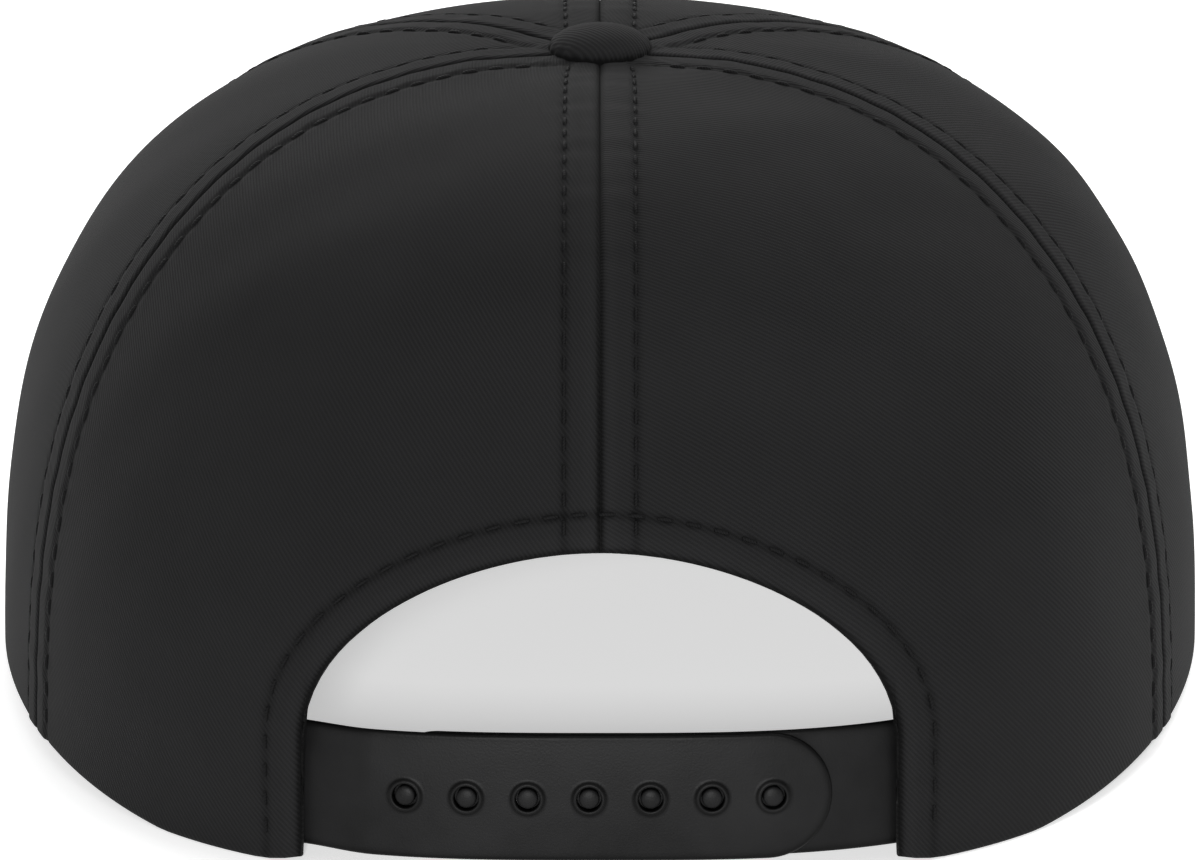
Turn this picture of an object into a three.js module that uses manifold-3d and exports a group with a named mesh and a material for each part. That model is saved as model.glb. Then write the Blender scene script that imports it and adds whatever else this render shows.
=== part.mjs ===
// A six-panel rope cap with a snap closure, standing on a table as it would by itself.
// Millimetres, +Z up. The snap closure is at +Y, the peak points to -Y, and the wearer's left is +X.
// The crown is a thin shell of six cloth panels round a vertical axis. The back panels leave an arch
// above two plastic straps, and the front panels stand on the peak with a rope along the joint.

import * as THREE from 'three';
import { mergeVertices } from 'three/addons/utils/BufferGeometryUtils.js';
import Module from 'manifold-3d';

const manifold = await Module();
manifold.setup();

// Clearance between neighbouring pieces.
const gap = 0.3;

// Crown.
const crownHalfWidth = 85.2;
const crownBackReach = 102.5;
const crownFrontReach = 88.7;
const crownHeight = 90.6;
const clothWall = 1.6;
const buttonHole = 2.2;

// The button pulls the top of the crown down into a shallow dimple of this radius.
const dimpleDepth = 0.8;
const dimpleRadius = 22;

// How the shell bulges at the side, back and front: outward while it rises, upward towards the
// crown's top, and how square the plan is at the rim. 2 is a plain ellipse in each column.
const bulge = {
  side: { outward: 2.85, upward: 2.7, square: 2 },
  back: { outward: 3.1, upward: 2.1, square: 3 },
  front: { outward: 2.85, upward: 2, square: 2 },
};

// Seams, in degrees round the crown from the wearer's side, at the rim and at the crown's top. They
// keep the rim's angle most of the way up.
const seams = {
  back: { rim: 21.1, top: 14.6 },
  front: { rim: 31, top: 36 },
};
const seamTurn = 8;

// The rim comes down to the table behind the ears, lies on it for a few degrees and lifts again to
// the corners of the opening. Angles in degrees round the crown.
const rimLanding = 44;
const rimLeaving = 56;
const rimCorner = 63;
const rimCornerLift = 1.5;

// Arched opening at the back: straight sides up to the spring, then an arc of this power, where 2
// is a plain ellipse.
const archHalfWidth = 41.6;
const archHeight = 45;
const archSpring = 18.1;
const archPower = 1.95;

// Peak. Its corners lie this angle, in degrees, behind the front seams, and its edge is an arc of
// this power.
const peakLength = 70;
const peakThickness = 3.4;
const peakRise = 6.7;
const peakInset = 3.7;
const peakCornerAngle = 4;
const peakWidest = 85;
const peakPower = 2.3;
const peakSeamMargin = 0.8;

// The peak's round edge is two facets: where they meet, and how thick the tip stays, as shares of
// half the peak's thickness.
const peakFacetShare = 0.4;
const peakTipShare = 0.3;

// Rope. The angles, in degrees, say how far ahead of the front seams it starts to rise and how far
// behind them it ends.
const ropeRadius = 2.4;
const ropeEndRise = 4.5;
const ropeRiseAngle = 11;
const ropeEndAngle = 11;
const ropeInside = 3;

// Button.
const buttonRadius = 7.3;
const buttonDome = 3.3;
const buttonShankTail = 1;

// Snap straps.
const strapThickness = 1.2;
const strapHeight = 18;
const strapAboveTable = 2.5;
const strapTab = 14;
const snapCount = 7;
const snapPitch = 8.53;
const snapFromArch = 14.5;
const snapToOuterTip = 8.3;
const snapToInnerTip = 4.4;
const snapHole = 1.7;
const snapRimWidth = 0.6;
const snapRimHeight = 0.4;
const snapPegDome = 0.3;

// Fineness of the faceted surfaces.
const panelColumns = 12;
const panelRows = 13;
const dimpleRows = 3;
const peakColumns = 36;
const peakRows = 6;
const ropeSides = 8;
const ropeSteps = 64;
const strapColumns = 22;
const roundSides = 20;
const snapSides = 14;
const buttonRows = 6;
const archSteps = 12;

const cloth = new THREE.MeshStandardMaterial({ color: 0x222222, roughness: 0.95, metalness: 0 });
const plastic = new THREE.MeshStandardMaterial({ color: 0x1c1c1c, roughness: 0.45, metalness: 0 });
const braid = new THREE.MeshStandardMaterial({ color: 0x262626, roughness: 0.9, metalness: 0 });

const radians = THREE.MathUtils.degToRad;
const lerp = THREE.MathUtils.lerp;
const smoothstep = THREE.MathUtils.smoothstep;

// Half width of the peak, just inside the crown's sides, and of the part of it before its round edge.
const peakHalfWidth = crownHalfWidth - peakInset;
const peakFlatHalfWidth = peakHalfWidth - peakThickness / 2;

// Underside of the peak: an arch across that comes down to the table where the round edges start.
function peakUnderside(x) {
  return peakRise * Math.max(0, 1 - (x / peakFlatHalfWidth) ** 2);
}

// Height of the crown's front rim, a gap above the peak.
function rimOverPeak(x) {
  return peakUnderside(x) + peakThickness + gap;
}

// Height of the crown's rim at an angle round it.
function rimHeight(angle) {
  if (Math.sin(angle) < 0) return rimOverPeak(crownHalfWidth * Math.cos(angle));
  const fromSide = Math.asin(Math.sin(angle));
  const landed = Math.min(1, (Math.sin(angle) / Math.sin(radians(rimLanding))) ** 2);
  const lifted = smoothstep(fromSide, radians(rimLeaving), radians(rimCorner));
  return rimOverPeak(crownHalfWidth) * (1 - landed) + rimCornerLift * lifted;
}

// Bulge of the shell at an angle: it changes evenly from the side to the back or front.
function bulgeAt(angle, direction) {
  const end = Math.sin(angle) >= 0 ? bulge.back : bulge.front;
  return lerp(bulge.side[direction], end[direction], Math.sin(angle) ** 2);
}

// Radius of the shell as a share of its plan, at a climb from 0 at the rim to a quarter turn at the
// top: a power of the climb's cosine.
function radiusShare(angle, climb) {
  return Math.max(0, Math.cos(climb)) ** (2 / bulgeAt(angle, 'outward'));
}

// Climb at which the shell reaches a height: the height above the rim is a power of its sine.
function climbAtHeight(angle, height) {
  const rim = rimHeight(angle);
  const rise = Math.max(0, (height - rim) / (crownHeight - rim));
  return Math.asin(rise ** (bulgeAt(angle, 'upward') / 2));
}

// Climb at which the shell has closed in to a given radius round its axis.
function climbAtRadius(angle, radius) {
  const reach = Math.sin(angle) >= 0 ? crownBackReach : crownFrontReach;
  const planRadius = Math.hypot(crownHalfWidth * Math.cos(angle), reach * Math.sin(angle));
  return Math.acos((radius / planRadius) ** (bulgeAt(angle, 'outward') / 2));
}

// Point on the crown's outer surface. The plan is an ellipse made squarer by a power that fades
// with the climb.
function crownPoint(angle, climb) {
  const across = Math.cos(angle);
  const backness = Math.sin(angle);
  const end = backness >= 0 ? bulge.back : bulge.front;
  const reach = backness >= 0 ? crownBackReach : -crownFrontReach;
  const square = lerp(2, end.square, Math.sqrt(Math.max(0, Math.cos(climb))));
  const radius = radiusShare(angle, climb);
  const rise = Math.max(0, Math.sin(climb)) ** (2 / bulgeAt(angle, 'upward'));
  const rim = rimHeight(angle);
  const x = crownHalfWidth * across * radius;
  const y = reach * Math.sqrt(Math.max(0, 1 - Math.abs(across) ** square)) * radius;
  const pulled = 1 - smoothstep(Math.hypot(x, y), buttonRadius, dimpleRadius);
  return new THREE.Vector3(x, y, rim + (crownHeight - rim) * rise - dimpleDepth * pulled);
}

// Sideways and upward directions of the crown's surface, by small differences.
function crownDirections(angle, climb) {
  const step = 0.002;
  const middle = THREE.MathUtils.clamp(climb, step, Math.PI / 2 - step);
  const sideways = crownPoint(angle + step, middle).sub(crownPoint(angle - step, middle));
  const upward = crownPoint(angle, middle + step).sub(crownPoint(angle, middle - step));
  return { sideways: sideways.divideScalar(2 * step), upward };
}

// Point a given depth inside the crown's outer surface. The wall is upright at the rim.
function shellPoint(angle, climb, depth) {
  const { sideways, upward } = crownDirections(angle, climb);
  const outward = sideways.cross(upward);
  if (climb === 0) outward.z = 0;
  return crownPoint(angle, climb).addScaledVector(outward.normalize(), -depth);
}

// Y of the crown's back wall at a given x and height. The angle is found by repeating
// x = half width * cosine * radius share, which settles in a few rounds.
function backWallY(x, height) {
  const rounds = 12;
  let angle = Math.acos(x / crownHalfWidth);
  for (let round = 0; round < rounds; round += 1) {
    const radius = radiusShare(angle, climbAtHeight(angle, height));
    angle = Math.acos(x / (crownHalfWidth * radius));
  }
  return crownPoint(angle, climbAtHeight(angle, height)).y;
}

// Outward direction of the crown's back wall at a given x and height.
function backWallOutward(x, z) {
  const step = 0.5;
  const slopeAcross = (backWallY(x + step, z) - backWallY(x - step, z)) / (2 * step);
  const slopeUp = (backWallY(x, z + step) - backWallY(x, z - step)) / (2 * step);
  return new THREE.Vector3(-slopeAcross, 1, -slopeUp).normalize();
}

// Point a given depth inside the crown's back wall.
function backWallPoint(x, z, depth) {
  const outward = backWallOutward(x, z);
  return new THREE.Vector3(x, backWallY(x, z), z).addScaledVector(outward, -depth);
}

// Closed slab from two matching grids of points, the outer one and the inner one.
function slab(outer, inner) {
  const columns = outer.length;
  const rows = outer[0].length;
  const positions = [];
  for (const grid of [outer, inner]) {
    for (const column of grid) {
      for (const point of column) positions.push(point.x, point.y, point.z);
    }
  }
  const outside = (i, j) => i * rows + j;
  const inside = (i, j) => columns * rows + i * rows + j;
  const faces = [];
  const quad = (a, b, c, d) => faces.push(a, b, c, a, c, d);
  for (let i = 0; i < columns - 1; i += 1) {
    for (let j = 0; j < rows - 1; j += 1) {
      quad(outside(i, j), outside(i + 1, j), outside(i + 1, j + 1), outside(i, j + 1));
      quad(inside(i, j + 1), inside(i + 1, j + 1), inside(i + 1, j), inside(i, j));
    }
    quad(inside(i, 0), inside(i + 1, 0), outside(i + 1, 0), outside(i, 0));
    quad(outside(i, rows - 1), outside(i + 1, rows - 1), inside(i + 1, rows - 1), inside(i, rows - 1));
  }
  const last = columns - 1;
  for (let j = 0; j < rows - 1; j += 1) {
    quad(inside(0, j), outside(0, j), outside(0, j + 1), inside(0, j + 1));
    quad(outside(last, j), inside(last, j), inside(last, j + 1), outside(last, j + 1));
  }
  const geometry = new THREE.BufferGeometry();
  geometry.setAttribute('position', new THREE.Float32BufferAttribute(positions, 3));
  geometry.setIndex(faces);
  return geometry;
}

// Solid for cutting and joining, from a closed geometry.
function solidOf(geometry) {
  const bare = geometry.clone();
  bare.deleteAttribute('normal');
  bare.deleteAttribute('uv');
  const merged = mergeVertices(bare, 1e-4);
  return new manifold.Manifold(new manifold.Mesh({
    numProp: 3,
    vertProperties: new Float32Array(merged.attributes.position.array),
    triVerts: new Uint32Array(merged.index.array),
  }));
}

// Geometry of a solid that was cut or joined.
function geometryOf(solid) {
  const mesh = solid.getMesh();
  const geometry = new THREE.BufferGeometry();
  geometry.setAttribute('position', new THREE.Float32BufferAttribute(mesh.vertProperties, 3));
  geometry.setIndex(Array.from(mesh.triVerts));
  return geometry;
}

function namedMesh(name, geometry, material) {
  const mesh = new THREE.Mesh(geometry, material);
  mesh.name = name;
  return mesh;
}

// Angle of a seam beside the wearer's left side at a climb, positive towards the back.
function seamAngle(seam, climb) {
  return radians(lerp(seam.rim, seam.top, Math.sin(climb) ** seamTurn));
}

// Climbs of a panel's rows: even steps up to the dimple, then even steps of radius to the hole.
function panelClimbs(angle) {
  const climbs = [];
  for (let j = 0; j < panelRows; j += 1) {
    climbs.push((j / panelRows) * climbAtRadius(angle, dimpleRadius));
  }
  for (let j = 0; j <= dimpleRows; j += 1) {
    climbs.push(climbAtRadius(angle, lerp(dimpleRadius, buttonHole, j / dimpleRows)));
  }
  return climbs;
}

// One crown panel between two seams, each given as its angle at a climb, with half a gap left at
// each seam.
function panelGeometry(fromSeam, toSeam) {
  const outer = [];
  const inner = [];
  for (let i = 0; i <= panelColumns; i += 1) {
    const share = i / panelColumns;
    const outerColumn = [];
    const innerColumn = [];
    for (const climb of panelClimbs(lerp(fromSeam(Math.PI / 2), toSeam(Math.PI / 2), share))) {
      const from = fromSeam(climb);
      const to = toSeam(climb);
      const fromSpeed = crownDirections(from, climb).sideways.length();
      const toSpeed = crownDirections(to, climb).sideways.length();
      const angle = lerp(from + gap / 2 / fromSpeed, to - gap / 2 / toSpeed, share);
      outerColumn.push(shellPoint(angle, climb, 0));
      innerColumn.push(shellPoint(angle, climb, clothWall));
    }
    outer.push(outerColumn);
    inner.push(innerColumn);
  }
  return slab(outer, inner);
}

// Prism that cuts the arch through the back wall: straight sides up to the spring, then an arc
// whose across and up shares, each to the power of its roundness, add up to one.
function archCutter() {
  const outline = new THREE.Shape();
  outline.moveTo(archHalfWidth, -archSpring);
  for (let i = 0; i <= 2 * archSteps; i += 1) {
    const turn = (Math.PI * i) / (2 * archSteps);
    const across = Math.sign(Math.cos(turn)) * Math.abs(Math.cos(turn)) ** (2 / archPower);
    const up = Math.abs(Math.sin(turn)) ** (2 / archPower);
    outline.lineTo(archHalfWidth * across, archSpring + (archHeight - archSpring) * up);
  }
  outline.lineTo(-archHalfWidth, -archSpring);
  outline.closePath();
  const prism = new THREE.ExtrudeGeometry(outline, { depth: crownBackReach, bevelEnabled: false });
  prism.rotateX(Math.PI / 2);
  prism.translate(0, 1.5 * crownBackReach, 0);
  return solidOf(prism);
}

// Middle line of the rope: along the joint of crown and peak, then up and, past the front seam, in
// through the side panel.
class RopeRoute extends THREE.Curve {
  getPoint(share) {
    const ropeEnd = seams.front.rim - ropeEndAngle;
    const angle = lerp(radians(-ropeEnd), radians(ropeEnd - 180), share);
    const fromSide = THREE.MathUtils.radToDeg(Math.asin(-Math.sin(angle)));
    const rising = 1 - smoothstep(fromSide, ropeEnd, seams.front.rim + ropeRiseAngle);
    const entering = 1 - smoothstep(fromSide, ropeEnd, seams.front.rim);
    const height = rimHeight(angle) + ropeRadius + ropeEndRise * rising;
    const outside = -(ropeRadius + gap);
    const inside = clothWall + ropeRadius + ropeInside;
    return shellPoint(angle, climbAtHeight(angle, height), lerp(outside, inside, entering));
  }
}

// Tube along the rope's route.
function ropeGeometry(radius) {
  const section = new THREE.Shape();
  for (let i = 0; i < ropeSides; i += 1) {
    const turn = (2 * Math.PI * i) / ropeSides;
    const method = i === 0 ? 'moveTo' : 'lineTo';
    section[method](radius * Math.cos(turn), radius * Math.sin(turn));
  }
  section.closePath();
  return new THREE.ExtrudeGeometry(section, { steps: ropeSteps, extrudePath: new RopeRoute() });
}

// The six crown panels. The back ones are cut by the arch and the side ones by the rope's way in.
function crownPanels() {
  const backLeft = (climb) => seamAngle(seams.back, climb);
  const backRight = (climb) => Math.PI - backLeft(climb);
  const frontLeft = (climb) => -seamAngle(seams.front, climb);
  const frontRight = (climb) => Math.PI - frontLeft(climb);
  const backCentre = () => Math.PI / 2;
  const frontCentre = () => -Math.PI / 2;
  const frontCentreAgain = () => (3 * Math.PI) / 2;
  const panels = [
    { name: 'panel_back_left', from: backLeft, to: backCentre, cutBy: 'arch' },
    { name: 'panel_back_right', from: backCentre, to: backRight, cutBy: 'arch' },
    { name: 'panel_side_left', from: frontLeft, to: backLeft, cutBy: 'rope' },
    { name: 'panel_side_right', from: backRight, to: frontRight, cutBy: 'rope' },
    { name: 'panel_front_left', from: frontCentre, to: frontLeft, cutBy: null },
    { name: 'panel_front_right', from: frontRight, to: frontCentreAgain, cutBy: null },
  ];
  const cutters = { arch: archCutter(), rope: solidOf(ropeGeometry(ropeRadius + gap)) };
  const group = new THREE.Group();
  for (const panel of panels) {
    let geometry = panelGeometry(panel.from, panel.to);
    if (panel.cutBy) geometry = geometryOf(solidOf(geometry).subtract(cutters[panel.cutBy]));
    group.add(namedMesh(panel.name, geometry, cloth));
  }
  return group;
}

// Angle of the peak's corners, measured forward from the wearer's side.
const peakCorner = radians(seams.front.rim - peakCornerAngle);

// Point on the peak's free edge, from 0 at the left corner to 1 at the right one. Ahead of its
// widest line it is a squared half ellipse, and behind it a quarter on each side runs to the corner.
function peakEdge(share) {
  const corner = crownPoint(-peakCorner, 0);
  const power = 2 / peakPower;
  const cornerTurn = Math.acos((corner.x / peakHalfWidth) ** (1 / power));
  const forward = crownFrontReach + peakLength - peakWidest;
  const backward = (corner.y + peakWidest) / Math.sin(cornerTurn) ** power;
  const turn = lerp(-cornerTurn, Math.PI + cornerTurn, share);
  const across = Math.sign(Math.cos(turn)) * Math.abs(Math.cos(turn)) ** power;
  const ahead = Math.sign(Math.sin(turn)) * Math.abs(Math.sin(turn)) ** power;
  const reach = ahead > 0 ? forward : backward;
  return new THREE.Vector2(peakHalfWidth * across, -peakWidest - reach * ahead);
}

// The peak: one board of cloth-covered stiffener, arched across and rounded at its free edge. Its
// rows run from the seam margin inside the crown out to the edge.
function peakGeometry() {
  const round = peakThickness / 2;
  const top = [];
  const under = [];
  for (let i = 0; i <= peakColumns; i += 1) {
    const share = i / peakColumns;
    const seam = shellPoint(lerp(-peakCorner, peakCorner - Math.PI, share), 0, clothWall + peakSeamMargin);
    const edge = peakEdge(share);
    const reach = Math.hypot(edge.x - seam.x, edge.y - seam.y);
    const distances = [];
    for (let j = 0; j <= peakRows; j += 1) distances.push(((reach - round) * j) / peakRows);
    distances.push(reach - peakFacetShare * round, reach);
    const topColumn = [];
    const underColumn = [];
    for (const distance of distances) {
      const x = lerp(seam.x, edge.x, distance / reach);
      const y = lerp(seam.y, edge.y, distance / reach);
      const fromEdge = Math.min(1, (reach - distance) / round);
      const halfThickness = round * Math.max(peakTipShare, Math.sqrt(1 - (1 - fromEdge) ** 2));
      const middle = peakUnderside(x) + round;
      topColumn.push(new THREE.Vector3(x, y, middle + halfThickness));
      underColumn.push(new THREE.Vector3(x, y, middle - halfThickness));
    }
    top.push(topColumn);
    under.push(underColumn);
  }
  return slab(top, under);
}

// Cloth-covered button: a dome whose rows follow a quarter ellipse, on a shank through the crown.
function buttonGeometry() {
  const shank = buttonHole - gap;
  const profile = [
    new THREE.Vector2(0, -clothWall - buttonShankTail),
    new THREE.Vector2(shank, -clothWall - buttonShankTail),
    new THREE.Vector2(shank, gap),
  ];
  for (let j = 0; j <= buttonRows; j += 1) {
    const turn = (Math.PI / 2) * (j / buttonRows);
    profile.push(new THREE.Vector2(buttonRadius * Math.cos(turn), gap + buttonDome * Math.sin(turn)));
  }
  profile[profile.length - 1].x = 0;
  const button = new THREE.LatheGeometry(profile, roundSides);
  button.rotateX(Math.PI / 2);
  button.translate(0, 0, crownHeight - dimpleDepth);
  return button;
}

// Columns of a strap from its tip, a half circle as high as the strap, to the sewn end of its tab.
function strapStations(tip, tabEnd) {
  const towards = Math.sign(tabEnd - tip);
  const radius = strapHeight / 2;
  const stations = [];
  for (let i = 1; i <= roundSides / 2; i += 1) {
    const turn = (Math.PI * i) / roundSides;
    stations.push({ x: tip + towards * radius * (1 - Math.cos(turn)), halfHeight: radius * Math.sin(turn) });
  }
  for (let i = 1; i <= strapColumns; i += 1) {
    stations.push({ x: lerp(tip + towards * radius, tabEnd, i / strapColumns), halfHeight: radius });
  }
  return stations;
}

// A strap that follows the back wall at a depth that may change along it.
function strapGeometry(stations, depthAt) {
  const outer = [];
  const inner = [];
  for (const { x, halfHeight } of stations) {
    const outerColumn = [];
    const innerColumn = [];
    for (const side of [-1, 0, 1]) {
      const z = strapMiddle + side * halfHeight;
      outerColumn.push(backWallPoint(x, z, depthAt(x)));
      innerColumn.push(backWallPoint(x, z, depthAt(x) + strapThickness));
    }
    outer.push(outerColumn);
    inner.push(innerColumn);
  }
  const fromLeft = stations[0].x > stations[stations.length - 1].x;
  if (fromLeft) return slab(outer, inner);
  return slab(outer.reverse(), inner.reverse());
}

// A round piece set on the back wall at a snap, its profile turned to stand along the wall's
// outward direction.
function atSnap(geometry, x, depth) {
  const outward = backWallOutward(x, strapMiddle);
  const place = backWallPoint(x, strapMiddle, depth);
  geometry.rotateX(Math.PI / 2);
  geometry.applyQuaternion(new THREE.Quaternion().setFromUnitVectors(new THREE.Vector3(0, 0, 1), outward));
  geometry.translate(place.x, place.y, place.z);
  return solidOf(geometry);
}

// Round piece of a snap from rows of radius and height.
function turned(rows) {
  const profile = rows.map(([radius, height]) => new THREE.Vector2(radius, height));
  return new THREE.LatheGeometry(profile, snapSides);
}

// Places of the snaps and of the straps' tips, as x. The straps fill their height about the middle.
const strapMiddle = strapAboveTable + strapHeight / 2;
const firstSnap = archHalfWidth - snapFromArch;
const lastSnap = firstSnap - (snapCount - 1) * snapPitch;
const outerStrapTip = lastSnap - snapToOuterTip;
const innerStrapTip = firstSnap + snapToInnerTip;

// Depths of the two straps: both are sewn just inside the cloth, and the outer one steps over the
// inner one where they meet.
const innerStrapDepth = clothWall + gap;
const outerStrapDepth = innerStrapDepth - strapThickness - gap;

function depthOfOuterStrap(x) {
  return lerp(outerStrapDepth, innerStrapDepth, smoothstep(x, innerStrapTip, archHalfWidth));
}

function snapPlaces() {
  const places = [];
  for (let i = 0; i < snapCount; i += 1) places.push(firstSnap - i * snapPitch);
  return places;
}

// Outer strap, from the wearer's left: holes with raised rims.
function outerStrapGeometry() {
  const stations = strapStations(outerStrapTip, archHalfWidth + strapTab);
  let strap = solidOf(strapGeometry(stations, depthOfOuterStrap));
  const sunk = strapThickness / 2;
  for (const x of snapPlaces()) {
    const depth = depthOfOuterStrap(x);
    const rimRadius = snapHole + snapRimWidth;
    const rim = turned([[0, -sunk], [rimRadius, -sunk], [rimRadius, snapRimHeight], [0, snapRimHeight]]);
    const hole = turned([
      [0, -2 * strapThickness],
      [snapHole, -2 * strapThickness],
      [snapHole, strapThickness],
      [0, strapThickness],
    ]);
    strap = strap.add(atSnap(rim, x, depth)).subtract(atSnap(hole, x, depth));
  }
  return geometryOf(strap);
}

// Inner strap, from the wearer's right: a domed peg through each hole.
function innerStrapGeometry() {
  const stations = strapStations(innerStrapTip, -archHalfWidth - strapTab);
  let strap = solidOf(strapGeometry(stations, () => innerStrapDepth));
  const sunk = strapThickness / 2;
  const pegHeight = gap + strapThickness + snapRimHeight;
  const pegRadius = snapHole - gap;
  for (const x of snapPlaces()) {
    const peg = turned([
      [0, -sunk],
      [pegRadius, -sunk],
      [pegRadius, pegHeight - snapPegDome],
      [pegRadius / 2, pegHeight],
      [0, pegHeight],
    ]);
    strap = strap.add(atSnap(peg, x, innerStrapDepth));
  }
  return geometryOf(strap);
}

const cap = new THREE.Group();
cap.add(crownPanels());
cap.add(namedMesh('top_button', buttonGeometry(), cloth));
cap.add(namedMesh('peak', peakGeometry(), cloth));
cap.add(namedMesh('rope', ropeGeometry(ropeRadius), braid));
cap.add(namedMesh('strap_outer', outerStrapGeometry(), plastic));
cap.add(namedMesh('strap_inner', innerStrapGeometry(), plastic));

// The origin is the middle of the ground that the cap covers.
const ground = new THREE.Box3().setFromObject(cap);
cap.position.y = -(ground.min.y + ground.max.y) / 2;

export default cap;
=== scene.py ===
"""Dresses the fixed frame of a six-panel rope cap: cloth panels with topstitched seams, a covered
button, a stitched peak, a laid rope and two moulded snap straps. Metres, +Z up. The snap closure is
at +Y, the peak points to -Y and the wearer's left is +X.
"""

import math

import bmesh
import bpy
import numpy as np
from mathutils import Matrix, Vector
from mathutils.bvhtree import BVHTree


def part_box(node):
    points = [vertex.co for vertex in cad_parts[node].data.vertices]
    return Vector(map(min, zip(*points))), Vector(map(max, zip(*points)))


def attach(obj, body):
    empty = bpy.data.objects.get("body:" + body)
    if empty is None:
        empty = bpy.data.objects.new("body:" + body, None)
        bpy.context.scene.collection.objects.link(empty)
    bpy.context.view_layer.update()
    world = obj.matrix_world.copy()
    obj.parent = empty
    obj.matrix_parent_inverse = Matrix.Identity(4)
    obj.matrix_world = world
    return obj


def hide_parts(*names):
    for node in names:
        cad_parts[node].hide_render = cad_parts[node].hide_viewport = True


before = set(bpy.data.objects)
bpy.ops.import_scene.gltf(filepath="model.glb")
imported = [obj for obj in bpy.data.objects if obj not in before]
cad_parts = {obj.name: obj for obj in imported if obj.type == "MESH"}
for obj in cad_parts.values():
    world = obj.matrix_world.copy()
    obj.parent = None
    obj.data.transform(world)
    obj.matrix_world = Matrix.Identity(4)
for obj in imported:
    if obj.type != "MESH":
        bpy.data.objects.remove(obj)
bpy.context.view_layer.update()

bl_info = {
    "name": "Rope cap",
    "version": (1, 0, 0),
    "blender": (4, 5, 0),
    "location": "View3D > Sidebar > Rope cap",
    "description": "Builds a six-panel rope cap with a snap closure round its fixed frame",
    "category": "Object",
}

MM = 0.001

# Sizes that come from the frame.
BUTTON_LOW, BUTTON_HIGH = (np.array(corner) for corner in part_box("top_button"))
AXIS_Y = (BUTTON_LOW[1] + BUTTON_HIGH[1]) / 2
BUTTON_RADIUS = (BUTTON_HIGH[1] - BUTTON_LOW[1]) / 2
HALF_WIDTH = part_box("panel_side_left")[1][0]
PEAK_FRONT = AXIS_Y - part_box("peak")[0][1]
PEAK_HALF_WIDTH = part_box("peak")[1][0]

# Crown: reach behind and ahead of its axis, height, cloth and the dimple under the button.
BACK_REACH = 102.5 * MM
FRONT_REACH = 88.7 * MM
BUTTON_DOME = 3.3 * MM
CLEARANCE = 0.3 * MM
DIMPLE_DEPTH = 0.8 * MM
DIMPLE_RADIUS = 22 * MM
CROWN_HEIGHT = BUTTON_HIGH[2] - BUTTON_DOME - CLEARANCE + DIMPLE_DEPTH
CLOTH_WALL = 1.6 * MM
BUTTON_HOLE = 2.2 * MM

# Powers of the crown's bulge at the side, back and front: outward, upward and square in plan.
OUTWARD, UPWARD, SQUARE = 0, 1, 2
BULGE = {"side": (2.85, 2.7, 2.0), "back": (3.1, 2.1, 3.0), "front": (2.85, 2.0, 2.0)}

# Seams: angles from the wearer's side at the rim and at the top, and the power of their turn.
BACK_SEAM = (math.radians(21.1), math.radians(14.6))
FRONT_SEAM = (math.radians(31.0), math.radians(36.0))
SEAM_TURN = 8

# Rim: it lands, leaves the table again and lifts to the corners of the opening.
RIM_LANDING = math.radians(44)
RIM_LEAVING = math.radians(56)
RIM_CORNER = math.radians(63)
RIM_CORNER_LIFT = 1.5 * MM

# Arched opening.
ARCH_HALF_WIDTH = 41.6 * MM
ARCH_HEIGHT = 45 * MM
ARCH_SPRING = 18.1 * MM
ARCH_POWER = 1.95

# Peak.
PEAK_THICKNESS = 3.4 * MM
PEAK_RISE = 6.7 * MM
PEAK_FLAT_HALF_WIDTH = PEAK_HALF_WIDTH - PEAK_THICKNESS / 2
PEAK_CORNER = FRONT_SEAM[0] - math.radians(4)
PEAK_WIDEST = 85 * MM
PEAK_POWER = 2.3
PEAK_SEAM_MARGIN = 0.8 * MM

# Rope.
ROPE_RADIUS = 2.4 * MM
ROPE_END_RISE = 4.5 * MM
ROPE_RISE_ANGLE = math.radians(11)
ROPE_END_ANGLE = math.radians(11)
ROPE_INSIDE = 3 * MM
ROPE_STEPS = 420

# Three round strands that just touch within the rope, made a little thicker so that they press
# together, and the distance of their middles from the rope's.
STRANDS = 3
STRAND_PRESS = 1.08
STRAND_RADIUS = ROPE_RADIUS / (1 + 2 / math.sqrt(3)) * STRAND_PRESS
STRAND_LAY = ROPE_RADIUS - STRAND_RADIUS

# Straps and snaps.
STRAP_THICKNESS = 1.2 * MM
STRAP_HEIGHT = 18 * MM
STRAP_MIDDLE = 2.5 * MM + STRAP_HEIGHT / 2
STRAP_TAB = 14 * MM
SNAP_COUNT = 7
SNAP_PITCH = 8.53 * MM
FIRST_SNAP = ARCH_HALF_WIDTH - 14.5 * MM
OUTER_TIP = FIRST_SNAP - (SNAP_COUNT - 1) * SNAP_PITCH - 8.3 * MM
INNER_TIP = FIRST_SNAP + 4.4 * MM
SNAP_HOLE = 1.7 * MM
SNAP_RIM_WIDTH = 0.6 * MM
SNAP_RIM_HEIGHT = 0.4 * MM

# The photograph's view: behind the cap and above it, from far off.
VIEW_ELEVATION = math.radians(17.3)
VIEW_LENS = 600
VIEW_SENSOR = 36
VIEW_WIDTH = 171.5 * MM
VIEW_AIM_HEIGHT = 33.3 * MM


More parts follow.
